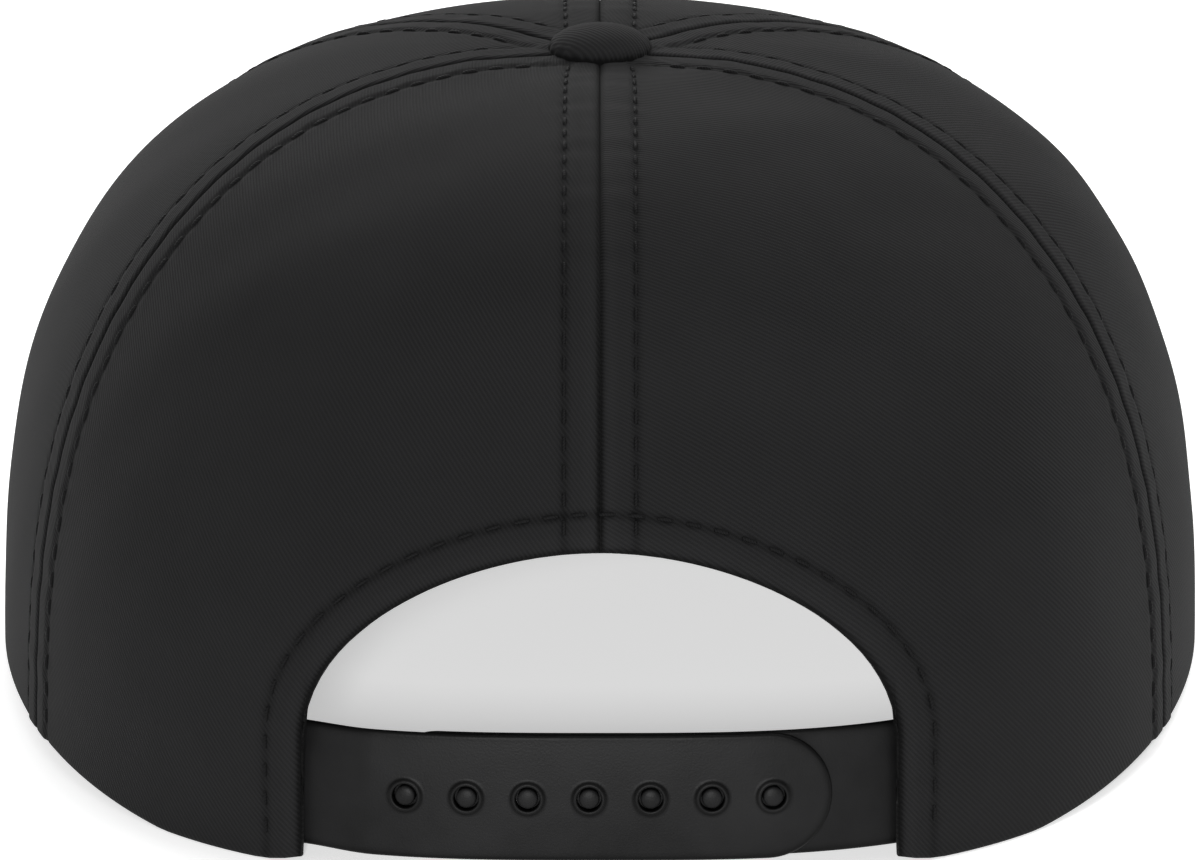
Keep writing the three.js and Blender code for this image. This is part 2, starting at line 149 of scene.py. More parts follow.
class CapClothSettings(bpy.types.PropertyGroup):
    """The twill of the crown, the button and the peak."""

    colour: bpy.props.FloatVectorProperty(
        name="Cloth colour", description="Colour of the twill", subtype="COLOR", size=3,
        min=0, max=1, default=(0.0095, 0.0095, 0.0098),
    )
    rib_pitch: bpy.props.FloatProperty(
        name="Rib pitch", description="Distance between the diagonal ribs of the twill",
        unit="LENGTH", default=0.6 * MM,
    )
    seam_roll: bpy.props.FloatProperty(
        name="Seam roll", description="Radius with which the cloth turns down into a seam",
        unit="LENGTH", default=0.7 * MM,
    )
    seam_ridge: bpy.props.FloatProperty(
        name="Seam ridge", description="Height of the cloth over the turned-in edges beside a seam",
        unit="LENGTH", default=0.24 * MM,
    )
    ripple: bpy.props.FloatProperty(
        name="Ripple", description="Height of the soft unevenness of the panels",
        unit="LENGTH", default=0.3 * MM,
    )


class CapStitchSettings(bpy.types.PropertyGroup):
    """The topstitching."""

    colour: bpy.props.FloatVectorProperty(
        name="Thread colour", description="Colour of the thread", subtype="COLOR", size=3,
        min=0, max=1, default=(0.005, 0.005, 0.0052),
    )
    pitch: bpy.props.FloatProperty(
        name="Pitch", description="Distance from one stitch to the next", unit="LENGTH",
        default=4.0 * MM,
    )
    length: bpy.props.FloatProperty(
        name="Length", description="Length of the thread seen in one stitch", unit="LENGTH",
        default=2.9 * MM,
    )
    width: bpy.props.FloatProperty(
        name="Width", description="Thickness of the thread", unit="LENGTH", default=0.6 * MM,
    )
    from_seam: bpy.props.FloatProperty(
        name="From the seam", description="Distance of a stitch line from its seam",
        unit="LENGTH", default=5.0 * MM,
    )
    from_arch: bpy.props.FloatProperty(
        name="From the arch", description="Distance of the stitch line round the opening's edge",
        unit="LENGTH", default=4.8 * MM,
    )
    peak_rows: bpy.props.IntProperty(
        name="Rows on the peak", description="Number of stitch lines on the peak", default=7,
    )
    peak_spacing: bpy.props.FloatProperty(
        name="Row spacing", description="Distance between the stitch lines on the peak",
        unit="LENGTH", default=7.0 * MM,
    )


class CapTrimSettings(bpy.types.PropertyGroup):
    """The rope and the snap straps."""

    rope_colour: bpy.props.FloatVectorProperty(
        name="Rope colour", description="Colour of the rope's yarn", subtype="COLOR", size=3,
        min=0, max=1, default=(0.0105, 0.0105, 0.0108),
    )
    rope_lay: bpy.props.FloatProperty(
        name="Lay", description="Length in which a strand goes once round the rope",
        unit="LENGTH", default=15.0 * MM,
    )
    plastic_colour: bpy.props.FloatVectorProperty(
        name="Plastic colour", description="Colour of the straps", subtype="COLOR", size=3,
        min=0, max=1, default=(0.006, 0.006, 0.0062),
    )
    strap_edge: bpy.props.FloatProperty(
        name="Edge radius", description="Radius of the straps' moulded edges", unit="LENGTH",
        default=0.58 * MM,
    )


class CapStageSettings(bpy.types.PropertyGroup):
    """The floor and the light."""

    floor_glow: bpy.props.FloatProperty(
        name="Floor glow", description="Strength of the light that comes up through the floor",
        default=0.5,
    )
    floor_colour: bpy.props.FloatVectorProperty(
        name="Floor colour", description="Colour of the floor", subtype="COLOR", size=3,
        min=0, max=1, default=(0.86, 0.86, 0.86),
    )
    key_power: bpy.props.FloatProperty(
        name="Key power", description="Power of the light behind the camera", unit="POWER",
        default=95.0,
    )
    top_power: bpy.props.FloatProperty(
        name="Top power", description="Power of the light above the cap", unit="POWER",
        default=17.0,
    )
    fill_power: bpy.props.FloatProperty(
        name="Fill power", description="Power of the light ahead of the peak", unit="POWER",
        default=28.0,
    )
    ambient: bpy.props.FloatProperty(
        name="Ambient", description="Strength of the light from all sides", default=0.35,
    )


def smoothstep(value, low, high):
    """3t^2 - 2t^3 of the share t of value between low and high."""
    share = np.clip((value - low) / (high - low), 0, 1)
    return share * share * (3 - 2 * share)


def lerp(low, high, share):
    """low plus share of the way to high."""
    return low + (high - low) * share


def unit(vectors):
    """Vectors divided by their lengths."""
    return vectors / np.linalg.norm(vectors, axis=-1, keepdims=True)


def bell(distance, width):
    """exp(-(distance / width)^2)."""
    return np.exp(-((distance / width) ** 2))


def run_along(points):
    """Length along a line up to each of its points."""
    return np.concatenate([[0], np.cumsum(np.linalg.norm(np.diff(points, axis=0), axis=-1))])


def even_turns(count):
    """Angles at even steps round a circle."""
    return 2 * math.pi * np.arange(count) / count


def both_faces(outer, inner):
    """Points or map places of a shell: those of its outer grid, then those of its inner one."""
    return np.concatenate([grid.reshape(-1, grid.shape[-1]) for grid in (outer, inner)])


# Shape of the crown.

def peak_underside(x):
    """An arch across: rise * (1 - (x / half width)^2), never under the table."""
    return PEAK_RISE * np.maximum(0, 1 - (x / PEAK_FLAT_HALF_WIDTH) ** 2)


def rim_height(angle):
    """Height of the rim: ahead of the sides it stands on the peak, and behind them it comes down to
    the table with the square of the angle's sine and lifts a little at the opening's corners."""
    clear = PEAK_THICKNESS + CLEARANCE
    ahead = peak_underside(HALF_WIDTH * np.cos(angle)) + clear
    landed = np.minimum(1, (np.sin(angle) / math.sin(RIM_LANDING)) ** 2)
    from_side = np.arcsin(np.clip(np.sin(angle), -1, 1))
    behind = clear * (1 - landed) + RIM_CORNER_LIFT * smoothstep(from_side, RIM_LEAVING, RIM_CORNER)
    return np.where(np.sin(angle) < 0, ahead, behind)


def bulge_at(angle, kind):
    """A bulge power, from the side's to the end's with the square of the angle's sine."""
    end = np.where(np.sin(angle) >= 0, BULGE["back"][kind], BULGE["front"][kind])
    return lerp(BULGE["side"][kind], end, np.sin(angle) ** 2)


def radius_share(angle, climb):
    """cos(climb)^(2 / outward power)."""
    return np.maximum(0, np.cos(climb)) ** (2 / bulge_at(angle, OUTWARD))


def climb_at_height(angle, height):
    """The climb whose sine, to the power 2 / upward power, is the share of the rise."""
    rim = rim_height(angle)
    rise = np.clip((height - rim) / (CROWN_HEIGHT - rim), 0, 1)
    return np.arcsin(rise ** (bulge_at(angle, UPWARD) / 2))


def climb_at_radius(angle, radius):
    """The climb whose cosine, to the power 2 / outward power, is the share of the plan's radius."""
    reach = np.where(np.sin(angle) >= 0, BACK_REACH, FRONT_REACH)
    plan = np.hypot(HALF_WIDTH * np.cos(angle), reach * np.sin(angle))
    return np.arccos((radius / plan) ** (bulge_at(angle, OUTWARD) / 2))


def crown_point(angle, climb):
    """x = half width * cos(angle) * radius share, y = reach * (1 - |cos(angle)|^square)^(1/2) *
    radius share, z = rim + rise * sin(climb)^(2 / upward power), less a dimple round the axis."""
    across = np.cos(angle)
    behind = np.sin(angle) >= 0
    reach = np.where(behind, BACK_REACH, -FRONT_REACH)
    end_square = np.where(behind, BULGE["back"][SQUARE], BULGE["front"][SQUARE])
    square = lerp(2.0, end_square, np.sqrt(np.maximum(0, np.cos(climb))))
    radius = radius_share(angle, climb)
    x = HALF_WIDTH * across * radius
    y = reach * np.sqrt(np.maximum(0, 1 - np.abs(across) ** square)) * radius
    rise = np.maximum(0, np.sin(climb)) ** (2 / bulge_at(angle, UPWARD))
    pulled = 1 - smoothstep(np.hypot(x, y), BUTTON_RADIUS, DIMPLE_RADIUS)
    rim = rim_height(angle)
    z = rim + (CROWN_HEIGHT - rim) * rise - DIMPLE_DEPTH * pulled
    return np.stack([x, y + AXIS_Y, z], -1)


def crown_directions(angle, climb):
    """Sideways speed and upward difference of the crown's surface, by small steps."""
    step = 0.002
    middle = np.clip(climb, step, math.pi / 2 - step)
    sideways = (crown_point(angle + step, middle) - crown_point(angle - step, middle)) / (2 * step)
    upward = crown_point(angle, middle + step) - crown_point(angle, middle - step)
    return sideways, upward


def crown_outward(angle, climb):
    """Unit normal of the crown, level at the rim."""
    outward = np.cross(*crown_directions(angle, climb))
    outward[..., 2] = np.where(climb <= 0, 0, outward[..., 2])
    return unit(outward)


def shell_point(angle, climb, depth):
    """Point a depth inside the crown's outer surface."""
    return crown_point(angle, climb) - crown_outward(angle, climb) * np.asarray(depth)[..., None]


def wall_place(x, height):
    """Angle and climb of the back wall at a place seen from behind. The angle is found by repeating
    cos(angle) = x / (half width * radius share)."""
    rounds = 12
    angle = np.arccos(np.clip(x / HALF_WIDTH, -1, 1))
    for _ in range(rounds):
        radius = radius_share(angle, climb_at_height(angle, height))
        angle = np.arccos(np.clip(x / (HALF_WIDTH * radius), -1, 1))
    return angle, climb_at_height(angle, height)


def wall_point(x, height, depth):
    """Point a depth inside the back wall at a place seen from behind."""
    return shell_point(*wall_place(x, height), depth)


def seam_angle(seam, climb):
    """The seam's rim angle, turned to its top angle with a high power of the climb's sine."""
    return lerp(seam[0], seam[1], np.sin(climb) ** SEAM_TURN)


# Lengths along the crown, summed once on a fine grid of angles and climbs.

TABLE_ANGLES = np.linspace(math.radians(-95), math.radians(275), 741)
TABLE_CLIMBS = (math.pi / 2) * (1 - np.cos(np.linspace(0, math.pi, 301))) / 2


def crown_lengths():
    """Length across the crown from the first angle at each climb, and up it from the rim at each
    angle, as two tables."""
    points = crown_point(*np.meshgrid(TABLE_ANGLES, TABLE_CLIMBS, indexing="ij"))
    across = np.zeros(points.shape[:2])
    up = np.zeros(points.shape[:2])
    across[1:] = np.cumsum(np.linalg.norm(np.diff(points, axis=0), axis=-1), axis=0)
    up[:, 1:] = np.cumsum(np.linalg.norm(np.diff(points, axis=1), axis=-1), axis=1)
    return across, up


LENGTH_ACROSS, LENGTH_UP = crown_lengths()


def read_table(table, angle, climb):
    """Value of a table between its four nearest entries."""
    i = np.interp(angle, TABLE_ANGLES, np.arange(len(TABLE_ANGLES)))
    j = np.interp(climb, TABLE_CLIMBS, np.arange(len(TABLE_CLIMBS)))
    i0 = np.minimum(i.astype(int), len(TABLE_ANGLES) - 2)
    j0 = np.minimum(j.astype(int), len(TABLE_CLIMBS) - 2)
    low = lerp(table[i0, j0], table[i0 + 1, j0], i - i0)
    high = lerp(table[i0, j0 + 1], table[i0 + 1, j0 + 1], i - i0)
    return lerp(low, high, j - j0)


# Opening.

def arch_outline(shares, offset=0.0):
    """Points (x, z) on the left half of the opening's edge from the floor to the middle, moved out
    by an offset: a straight side up to the spring, then |x/w|^n + |(z - spring)/rise|^n = 1."""
    side = 0.25
    turn = (math.pi / 2) * np.clip((shares - side) / (1 - side), 0, 1)
    power = 2 / ARCH_POWER
    x = ARCH_HALF_WIDTH * np.cos(turn) ** power
    z = ARCH_SPRING + (ARCH_HEIGHT - ARCH_SPRING) * np.sin(turn) ** power
    z = np.where(shares < side, ARCH_SPRING * shares / side, z)
    along = np.stack([np.gradient(x), np.gradient(z)], -1)
    away = unit(np.stack([along[:, 1], -along[:, 0]], -1))
    return np.stack([x, z], -1) + away * offset


def distance_to_line(points, line):
    """Distance in the plane from points to the nearest point of a finely drawn line, and the length
    along the line there."""
    run = run_along(line)
    nearest = np.full(points.shape[:-1], np.inf)
    where = np.zeros(points.shape[:-1])
    for place, length in zip(line, run):
        distance = np.linalg.norm(points - place, axis=-1)
        where = np.where(distance < nearest, length, where)
        nearest = np.minimum(nearest, distance)
    return nearest, where


# Meshes.

def shell_faces(columns, rows):
    """Four-sided faces of a closed shell of two grids, the outer one first."""
    index = np.arange(columns * rows).reshape(columns, rows)
    outer, inner = index, index + columns * rows

    def quads(a, b, c, d):
        return np.stack([a, b, c, d], -1).reshape(-1, 4)

    return [
        quads(outer[:-1, :-1], outer[1:, :-1], outer[1:, 1:], outer[:-1, 1:]),
        quads(inner[:-1, 1:], inner[1:, 1:], inner[1:, :-1], inner[:-1, :-1]),
        quads(inner[:-1, 0], inner[1:, 0], outer[1:, 0], outer[:-1, 0]),
        quads(outer[:-1, -1], outer[1:, -1], inner[1:, -1], inner[:-1, -1]),
        quads(inner[0, :-1], outer[0, :-1], outer[0, 1:], inner[0, 1:]),
        quads(outer[-1, :-1], inner[-1, :-1], inner[-1, 1:], outer[-1, 1:]),
    ]


def tube_faces(count, rings, sides):
    """Outward faces of a number of closed tubes with a flat cap at both ends. Each tube has rings
    of points that run counter-clockwise for someone who looks along it."""
    index = np.arange(count * rings * sides).reshape(count, rings, sides)
    ahead = np.roll(index, -1, axis=2)
    walls = np.stack([index[:, :-1], index[:, 1:], ahead[:, 1:], ahead[:, :-1]], -1)
    return [walls.reshape(-1, 4), index[:, 0], index[:, -1, ::-1]]


def set_uv(mesh, name, values):
    """A UV map from one pair of numbers for each point."""
    corners = np.zeros(len(mesh.loops), np.int32)
    mesh.loops.foreach_get("vertex_index", corners)
    layer = mesh.uv_layers.new(name=name)
    layer.uv.foreach_set("vector", values[corners].astype(np.float32).ravel())


def new_mesh(name, points, faces, maps):
    """A smooth mesh from points, arrays of faces with three or more corners, and UV maps."""
    mesh = bpy.data.meshes.new(name)
    corners = np.concatenate([group.ravel() for group in faces])
    sizes = np.concatenate([np.full(len(group), group.shape[1]) for group in faces])
    starts = np.concatenate([[0], np.cumsum(sizes)[:-1]])
    mesh.vertices.add(len(points))
    mesh.vertices.foreach_set("co", points.astype(np.float32).ravel())
    mesh.loops.add(len(corners))
    mesh.loops.foreach_set("vertex_index", corners.astype(np.int32))
    mesh.polygons.add(len(sizes))
    mesh.polygons.foreach_set("loop_start", starts.astype(np.int32))
    mesh.polygons.foreach_set("use_smooth", np.ones(len(sizes), bool))
    mesh.update(calc_edges=True)
    for map_name, values in maps.items():
        set_uv(mesh, map_name, values)
    return mesh


def new_piece(name, points, faces, maps, material, replaces=()):
    """A piece of the cap: its mesh in place, its material and the nodes it stands for."""
    mesh = new_mesh(name, points.reshape(-1, 3), faces, maps)
    mesh.materials.append(material)
    piece = bpy.data.objects.new(name, mesh)
    bpy.context.scene.collection.objects.link(piece)
    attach(piece, "root")
    if replaces:
        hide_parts(*replaces)
    return piece


# Materials.

class Recipe:
    """A material's node tree, built in the order of its calls."""

    def __init__(self, name, roughness, **sockets):
        self.material = bpy.data.materials.new(name)
        self.material.use_nodes = True
        self.tree = self.material.node_tree
        self.shader = self.tree.nodes["Principled BSDF"]
        self.shader.inputs["Roughness"].default_value = roughness
        for socket, value in sockets.items():
            self.shader.inputs[socket.replace("_", " ")].default_value = value

    def node(self, kind, inputs=(), **settings):
        """A node with its settings, and each input either linked or set."""
        made = self.tree.nodes.new(kind)
        for key, value in settings.items():
            setattr(made, key, value)
        for place, value in enumerate(inputs):
            if isinstance(value, bpy.types.NodeSocket):
                self.tree.links.new(value, made.inputs[place])
            elif value is not None:
                made.inputs[place].default_value = value
        return made

    def math(self, operation, *inputs):
        """The result of a Math node."""
        return self.node("ShaderNodeMath", inputs, operation=operation).outputs[0]

    def map_parts(self, name):
        """The two numbers of a UV map."""
        uv = self.node("ShaderNodeUVMap", uv_map=name)
        parts = self.node("ShaderNodeSeparateXYZ", [uv.outputs[0]])
        return parts.outputs[0], parts.outputs[1]

    def wave(self, value, length):
        """sin(2 pi value / length)."""
        return self.math("SINE", self.math("MULTIPLY", value, 2 * math.pi / length))

    def near(self, distance, middle, width):
        """exp(-((distance - middle) / width)^2): 1 at the middle, and less away from it."""
        share = self.math("DIVIDE", self.math("SUBTRACT", distance, middle), width)
        return self.math("EXPONENT", self.math("MULTIPLY", self.math("POWER", share, 2.0), -1.0))

    def noise(self, size, detail=3.0, roughness=0.55):
        """Noise in the piece's own coordinates, with grains of a size in metres, between 0 and 1."""
        place = self.node("ShaderNodeTexCoord").outputs["Object"]
        made = self.node("ShaderNodeTexNoise")
        self.tree.links.new(place, made.inputs["Vector"])
        made.inputs["Scale"].default_value = 1 / size
        made.inputs["Detail"].default_value = detail
        made.inputs["Roughness"].default_value = roughness
        return made.outputs[0]

    def shade(self, share, dark, light):
        """A mix of two greys or colours by a share, into the base colour."""
        mix = self.node("ShaderNodeMix", data_type="RGBA")
        self.tree.links.new(share, mix.inputs["Factor"])
        mix.inputs[6].default_value = (*dark, 1)
        mix.inputs[7].default_value = (*light, 1)
        self.tree.links.new(mix.outputs[2], self.shader.inputs["Base Color"])

    def bump(self, height, distance):
        """A relief from a height between 0 and 1."""
        made = self.node("ShaderNodeBump")
        made.inputs["Strength"].default_value = 1
        made.inputs["Distance"].default_value = distance
        self.tree.links.new(height, made.inputs["Height"])
        self.tree.links.new(made.outputs[0], self.shader.inputs["Normal"])

    def link(self, output, socket):
        """An output into a socket of the shader."""
        self.tree.links.new(output, self.shader.inputs[socket])

    def scaled(self, value, factor, base):
        """value * factor + base."""
        return self.math("MULTIPLY_ADD", value, factor, base)


def tinted(colour, factor):
    """A colour times a factor."""
    return tuple(channel * factor for channel in colour)


# Twill: sizes of its fuzz, of the wandering of its ribs and of its fading, depth of its relief, and
# widths of the pull at a stitch, the painted shade in the seam at an edge and the rubbed fold, which
# lies off that edge.
FUZZ_SIZE = 0.35 * MM
WANDER_SIZE = 9 * MM
FADE_SIZE = 34 * MM
TWILL_RELIEF = 0.12 * MM
PULL_WIDTH = 0.7 * MM
EDGE_SHADE_WIDTH = 0.5 * MM
FOLD_WIDTH = 0.9 * MM
FOLD_FROM_EDGE = 1.6 * MM

# How far the ribs wander and how close the crossing threads lie, as shares of the ribs' pitch, and
# the heights of threads, fuzz and pull against that of a rib.
RIB_WANDER = 0.3
THREAD_PITCH = 0.62
THREAD_HEIGHT = 0.35
FUZZ_HEIGHT = 1.2
PULL_HEIGHT = 2.0

# What each adds to the light shade's share of the cloth's colour, beside an even part, and the two
# shades as factors of the cloth's colour.
EVEN_SHARE = 0.3
FADE_SHARE = 0.5
RIB_SHARE = 0.15
THREAD_SHARE = 0.06
# The next two are painted shade: darker in the dip along a stitch line and in the seam at an edge.
LINE_SHADE_SHARE = -0.25
EDGE_SHADE_SHARE = -0.7
FOLD_SHARE = 0.1
TWILL_DARK = 0.2
TWILL_LIGHT = 1.65


def twill(name, settings, stitches, line_maps):
    """Cotton twill: diagonal ribs of height sin(2 pi (u + v) / pitch) crossed by threads, faint
    fading and a soft bloom. Each line map gives the distance from a stitch line, and how far that
    line lies from the cloth's edge: the cloth is pulled in at each stitch, with painted shade along
    the stitch line and in the seam at the edge, and rubbed on the fold beside it."""
    recipe = Recipe(name, 0.9, Sheen_Weight=0.02, Sheen_Roughness=0.5, Specular_IOR_Level=0.1)
    across, up = recipe.map_parts("weave")
    wander = recipe.noise(WANDER_SIZE)
    shift = recipe.math("MULTIPLY", wander, RIB_WANDER * settings.rib_pitch)
    diagonal = recipe.math("ADD", recipe.math("ADD", across, up), shift)
    rib = recipe.wave(diagonal, settings.rib_pitch * math.sqrt(2))
    crossing = recipe.math("SUBTRACT", across, up)
    thread = recipe.wave(crossing, settings.rib_pitch * THREAD_PITCH)
    weave = recipe.math("ADD", rib, recipe.math("MULTIPLY", thread, THREAD_HEIGHT))
    fuzz = recipe.noise(FUZZ_SIZE, detail=2)
    height = recipe.math("ADD", weave, recipe.math("MULTIPLY", fuzz, FUZZ_HEIGHT))
    fade = recipe.noise(FADE_SIZE, detail=4)
    share = recipe.scaled(rib, RIB_SHARE, recipe.scaled(fade, FADE_SHARE, EVEN_SHARE))
    share = recipe.scaled(thread, THREAD_SHARE, share)
    for line_map, from_edge in line_maps.items():
        run, away = recipe.map_parts(line_map)
        near = recipe.near(away, 0.0, PULL_WIDTH)
        turn = recipe.math("MULTIPLY", run, 2 * math.pi / stitches.pitch)
        pull = recipe.math("SUBTRACT", recipe.math("COSINE", turn), 1.0)
        pull = recipe.math("MULTIPLY", pull, near)
        height = recipe.scaled(pull, PULL_HEIGHT, height)
        # Painted shade: darker along the stitch line, where the cloth dips.
        share = recipe.scaled(near, LINE_SHADE_SHARE, share)
        # Painted shade: darker in the seam at the cloth's edge.
        edge = recipe.near(away, -from_edge, EDGE_SHADE_WIDTH)
        share = recipe.scaled(edge, EDGE_SHADE_SHARE, share)
        fold = recipe.near(away, FOLD_FROM_EDGE - from_edge, FOLD_WIDTH)
        share = recipe.scaled(fold, FOLD_SHARE, share)
    recipe.bump(recipe.scaled(height, 0.2, 0.5), TWILL_RELIEF)
    recipe.shade(share, tinted(settings.colour, TWILL_DARK), tinted(settings.colour, TWILL_LIGHT))
    return recipe.material


# Thread, rope and plastic: how far a ply or yarn shifts along in one turn, its pitch, the sizes of
# fluff, grain and flow marks, the depths of their reliefs and the widths of the painted shade on
# the straps' outlines and round their snaps.
PLY_SHIFT = 0.9 * MM
PLY_PITCH = 0.45 * MM
PLY_RELIEF = 0.06 * MM
YARN_SHIFT = 5 * MM
YARN_PITCH = 1.0 * MM
YARN_RELIEF = 0.2 * MM
FLUFF_SIZE = 0.4 * MM
GRAIN_SIZE = 0.3 * MM
GRAIN_RELIEF = 0.03 * MM
FLOW_SIZE = 9 * MM
OUTLINE_SHADE = 0.8 * MM
CIRCLE_SHADE = 0.24 * MM


def thread_material(settings):
    """Two-ply polyester thread: diagonal plies along each stitch, with a slight gloss."""
    recipe = Recipe("stitch_thread", 0.7, Specular_IOR_Level=0.1)
    round_share, along = recipe.map_parts("weave")
    turn = recipe.math("ADD", recipe.math("MULTIPLY", round_share, PLY_SHIFT), along)
    ply = recipe.wave(turn, PLY_PITCH)
    recipe.bump(recipe.scaled(ply, 0.5, 0.5), PLY_RELIEF)
    recipe.shade(
        recipe.scaled(ply, 0.5, 0.5),
        tinted(settings.colour, 0.7), tinted(settings.colour, 1.3),
    )
    return recipe.material


def rope_material(settings):
    """Laid cord: fine yarns that turn against the strands, with a little fluff."""
    recipe = Recipe(
        "rope_yarn", 0.85, Sheen_Weight=0.06, Sheen_Roughness=0.5, Specular_IOR_Level=0.2
    )
    round_share, along = recipe.map_parts("weave")
    turn = recipe.math("ADD", recipe.math("MULTIPLY", round_share, YARN_SHIFT), along)
    yarn = recipe.wave(turn, YARN_PITCH)
    fluff = recipe.noise(FLUFF_SIZE)
    height = recipe.math("ADD", yarn, fluff)
    recipe.bump(recipe.scaled(height, 0.3, 0.4), YARN_RELIEF)
    recipe.shade(
        recipe.scaled(yarn, 0.35, recipe.math("MULTIPLY", fluff, 0.9)),
        tinted(settings.rope_colour, 0.6), tinted(settings.rope_colour, 1.35),
    )
    return recipe.material


def plastic_material(settings):
    """Moulded plastic: a fine matt grain, slight flow marks, and painted shade along the strap's
    outline and round each snap, whose distances are the two numbers of its map."""
    recipe = Recipe("strap_plastic", 0.5, Specular_IOR_Level=0.13)
    outline, circle = recipe.map_parts("edges")
    grain = recipe.noise(GRAIN_SIZE, detail=2)
    flow = recipe.noise(FLOW_SIZE, detail=3)
    recipe.bump(grain, GRAIN_RELIEF)
    recipe.link(recipe.scaled(flow, 0.16, 0.4), "Roughness")
    # Painted shade: darker along the outline, at the edge of each hole and at the foot of its rim.
    share = recipe.scaled(recipe.near(outline, 0.0, OUTLINE_SHADE), -0.85, flow)
    share = recipe.scaled(recipe.near(circle, 0.0, CIRCLE_SHADE), -0.7, share)
    recipe.shade(
        share, tinted(settings.plastic_colour, 0.2), tinted(settings.plastic_colour, 1.8)
    )
    return recipe.material


# Crown panels.

PANEL_COLUMNS = 108
PANEL_ROWS = 180
CROWDING_AT_SEAMS = 0.93
CROWDING_AT_RIM = 0.88
SEAM_GAP = 0.01 * MM
SEAM_SLANT = 0.4 * MM
SEAM_SLANT_WIDTH = 2 * MM
STITCH_DIP = 0.2 * MM
STITCH_DIP_WIDTH = 0.6 * MM
INNER_ROLL_SHARE = 0.8
LEAN_POWER = 3
ARCH_FOOT = 0.5 * MM

# A hem is full at a distance from its edge, and falls between two distances from its stitches.
HEM_RISE = 1.2 * MM
HEM_FALL = (-1.1 * MM, 0.5 * MM)

# Puckers: their height, their middle and width as shares of the distance of the stitches, and the
# length, strength and start of each wave.
PUCKER_HEIGHT = 0.055 * MM
PUCKER_MIDDLE = 0.6
PUCKER_WIDTH = 0.7
PUCKER_WAVES = ((8.3 * MM, 1.0, 0.0), (5.1 * MM, 0.7, 1.7))

# Ripples: the direction, length, strength and start of each wave, and the width of the calm cloth
# along the edges.
RIPPLE_WAVES = (
    ((1.0, 0.0, 0.4), 47 * MM, 1.0, 0.6),
    ((0.0, 1.0, -0.7), 39 * MM, 0.8, 2.1),
    ((0.6, -1.0, 1.0), 27 * MM, 0.6, 4.0),
)
CALM_WIDTH = 14 * MM


def column_shares():
    """Shares across a panel, crowded at both seams: q - crowding * sin(2 pi q) / (2 pi)."""
    q = np.linspace(0, 1, PANEL_COLUMNS + 1)
    return q - CROWDING_AT_SEAMS * np.sin(2 * math.pi * q) / (2 * math.pi)


def row_shares():
    """Shares up a panel, crowded at its lower edge: q - crowding * sin(pi q) / pi."""
    q = np.linspace(0, 1, PANEL_ROWS + 1)
    return q - CROWDING_AT_RIM * np.sin(math.pi * q) / math.pi


def back_panel_edge(shares):
    """Angle and climb at shares of the length of the left back panel's lower edge: along the rim
    from the seam to the opening's corner, then up the opening's side and over the arch."""
    fine = 400
    corner = math.acos(ARCH_HALF_WIDTH / HALF_WIDTH)
    rim_angle = np.linspace(BACK_SEAM[0], corner, fine)
    outline = arch_outline(np.linspace(0, 1, fine))
    outline = outline[outline[:, 1] > float(rim_height(np.array(corner))) + ARCH_FOOT]
    arch_angle, arch_climb = wall_place(outline[:, 0], outline[:, 1])
    angle = np.concatenate([rim_angle, arch_angle])
    climb = np.concatenate([np.zeros(fine), arch_climb])
    points = crown_point(angle, climb)
    run = run_along(points)
    return np.interp(shares * run[-1], run, angle), np.interp(shares * run[-1], run, climb)


def panel_places(seam_from, seam_to, lower_edge):
    """Angle and climb at the panel's grid. Rows are even steps of length from the lower edge to the
    button's hole. Columns start on the lower edge and lean back to even shares of the width."""
    shares = column_shares()[:, None]
    rows = row_shares()[None, :]
    middle = (seam_from(0.0) + seam_to(0.0)) / 2
    top = climb_at_radius(lerp(seam_from(math.pi / 2), seam_to(math.pi / 2), shares), BUTTON_HOLE)
    lengths = read_table(LENGTH_UP, np.full(TABLE_CLIMBS.shape, middle), TABLE_CLIMBS)
    end_climb = float(climb_at_radius(np.array(middle), BUTTON_HOLE))
    end_length = np.interp(end_climb, TABLE_CLIMBS, lengths)

    def climb_of(share):
        return np.interp(share * end_length, lengths, TABLE_CLIMBS) / end_climb

    def share_of(climb):
        return np.interp(climb * end_climb, TABLE_CLIMBS, lengths) / end_length

    if lower_edge is None:
        start_angle = lerp(seam_from(0.0), seam_to(0.0), shares)
        start_climb = np.zeros(shares.shape)
    else:
        start_angle, start_climb = lower_edge(shares)
    start = share_of(start_climb / top)
    climb = top * climb_of(lerp(start, 1, rows))
    even = lerp(seam_from(climb), seam_to(climb), shares)
    lean = start_angle - lerp(seam_from(start_climb), seam_to(start_climb), shares)
    angle = even + lean * (1 - rows) ** LEAN_POWER
    return angle, np.where(rows == 0, start_climb, climb)


def quarter_round(distance, radius):
    """Drop of a rounded edge at a distance from it: radius - (radius^2 - (radius - d)^2)^(1/2)."""
    left = np.clip(radius - distance, 0, radius)
    return radius - np.sqrt(radius**2 - left**2)


def hem_relief(distance, offset, cloth):
    """Height beside a seam or hem: it stands up over the turned-in edge as far as the topstitching,
    dips there, and lies flat beyond."""
    ridge = cloth.seam_ridge * smoothstep(distance, 0, HEM_RISE)
    ridge = ridge * (1 - smoothstep(distance, offset + HEM_FALL[0], offset + HEM_FALL[1]))
    return ridge - STITCH_DIP * bell(distance - offset, STITCH_DIP_WIDTH)


def puckers(run, distance, offset):
    """Small waves along a seam, strongest between it and its stitches: sines of two lengths."""
    waves = sum(
        strength * np.sin(2 * math.pi * run / length + start)
        for length, strength, start in PUCKER_WAVES
    )
    spread = bell(distance - PUCKER_MIDDLE * offset, PUCKER_WIDTH * offset)
    return PUCKER_HEIGHT * waves * spread


def ripples(points, height):
    """Soft unevenness of a panel: a sum of sines of the place in space."""
    waves = sum(
        strength * np.sin(2 * math.pi * (points @ direction) / length + start)
        for direction, length, strength, start in RIPPLE_WAVES
    )
    return height * waves / 2


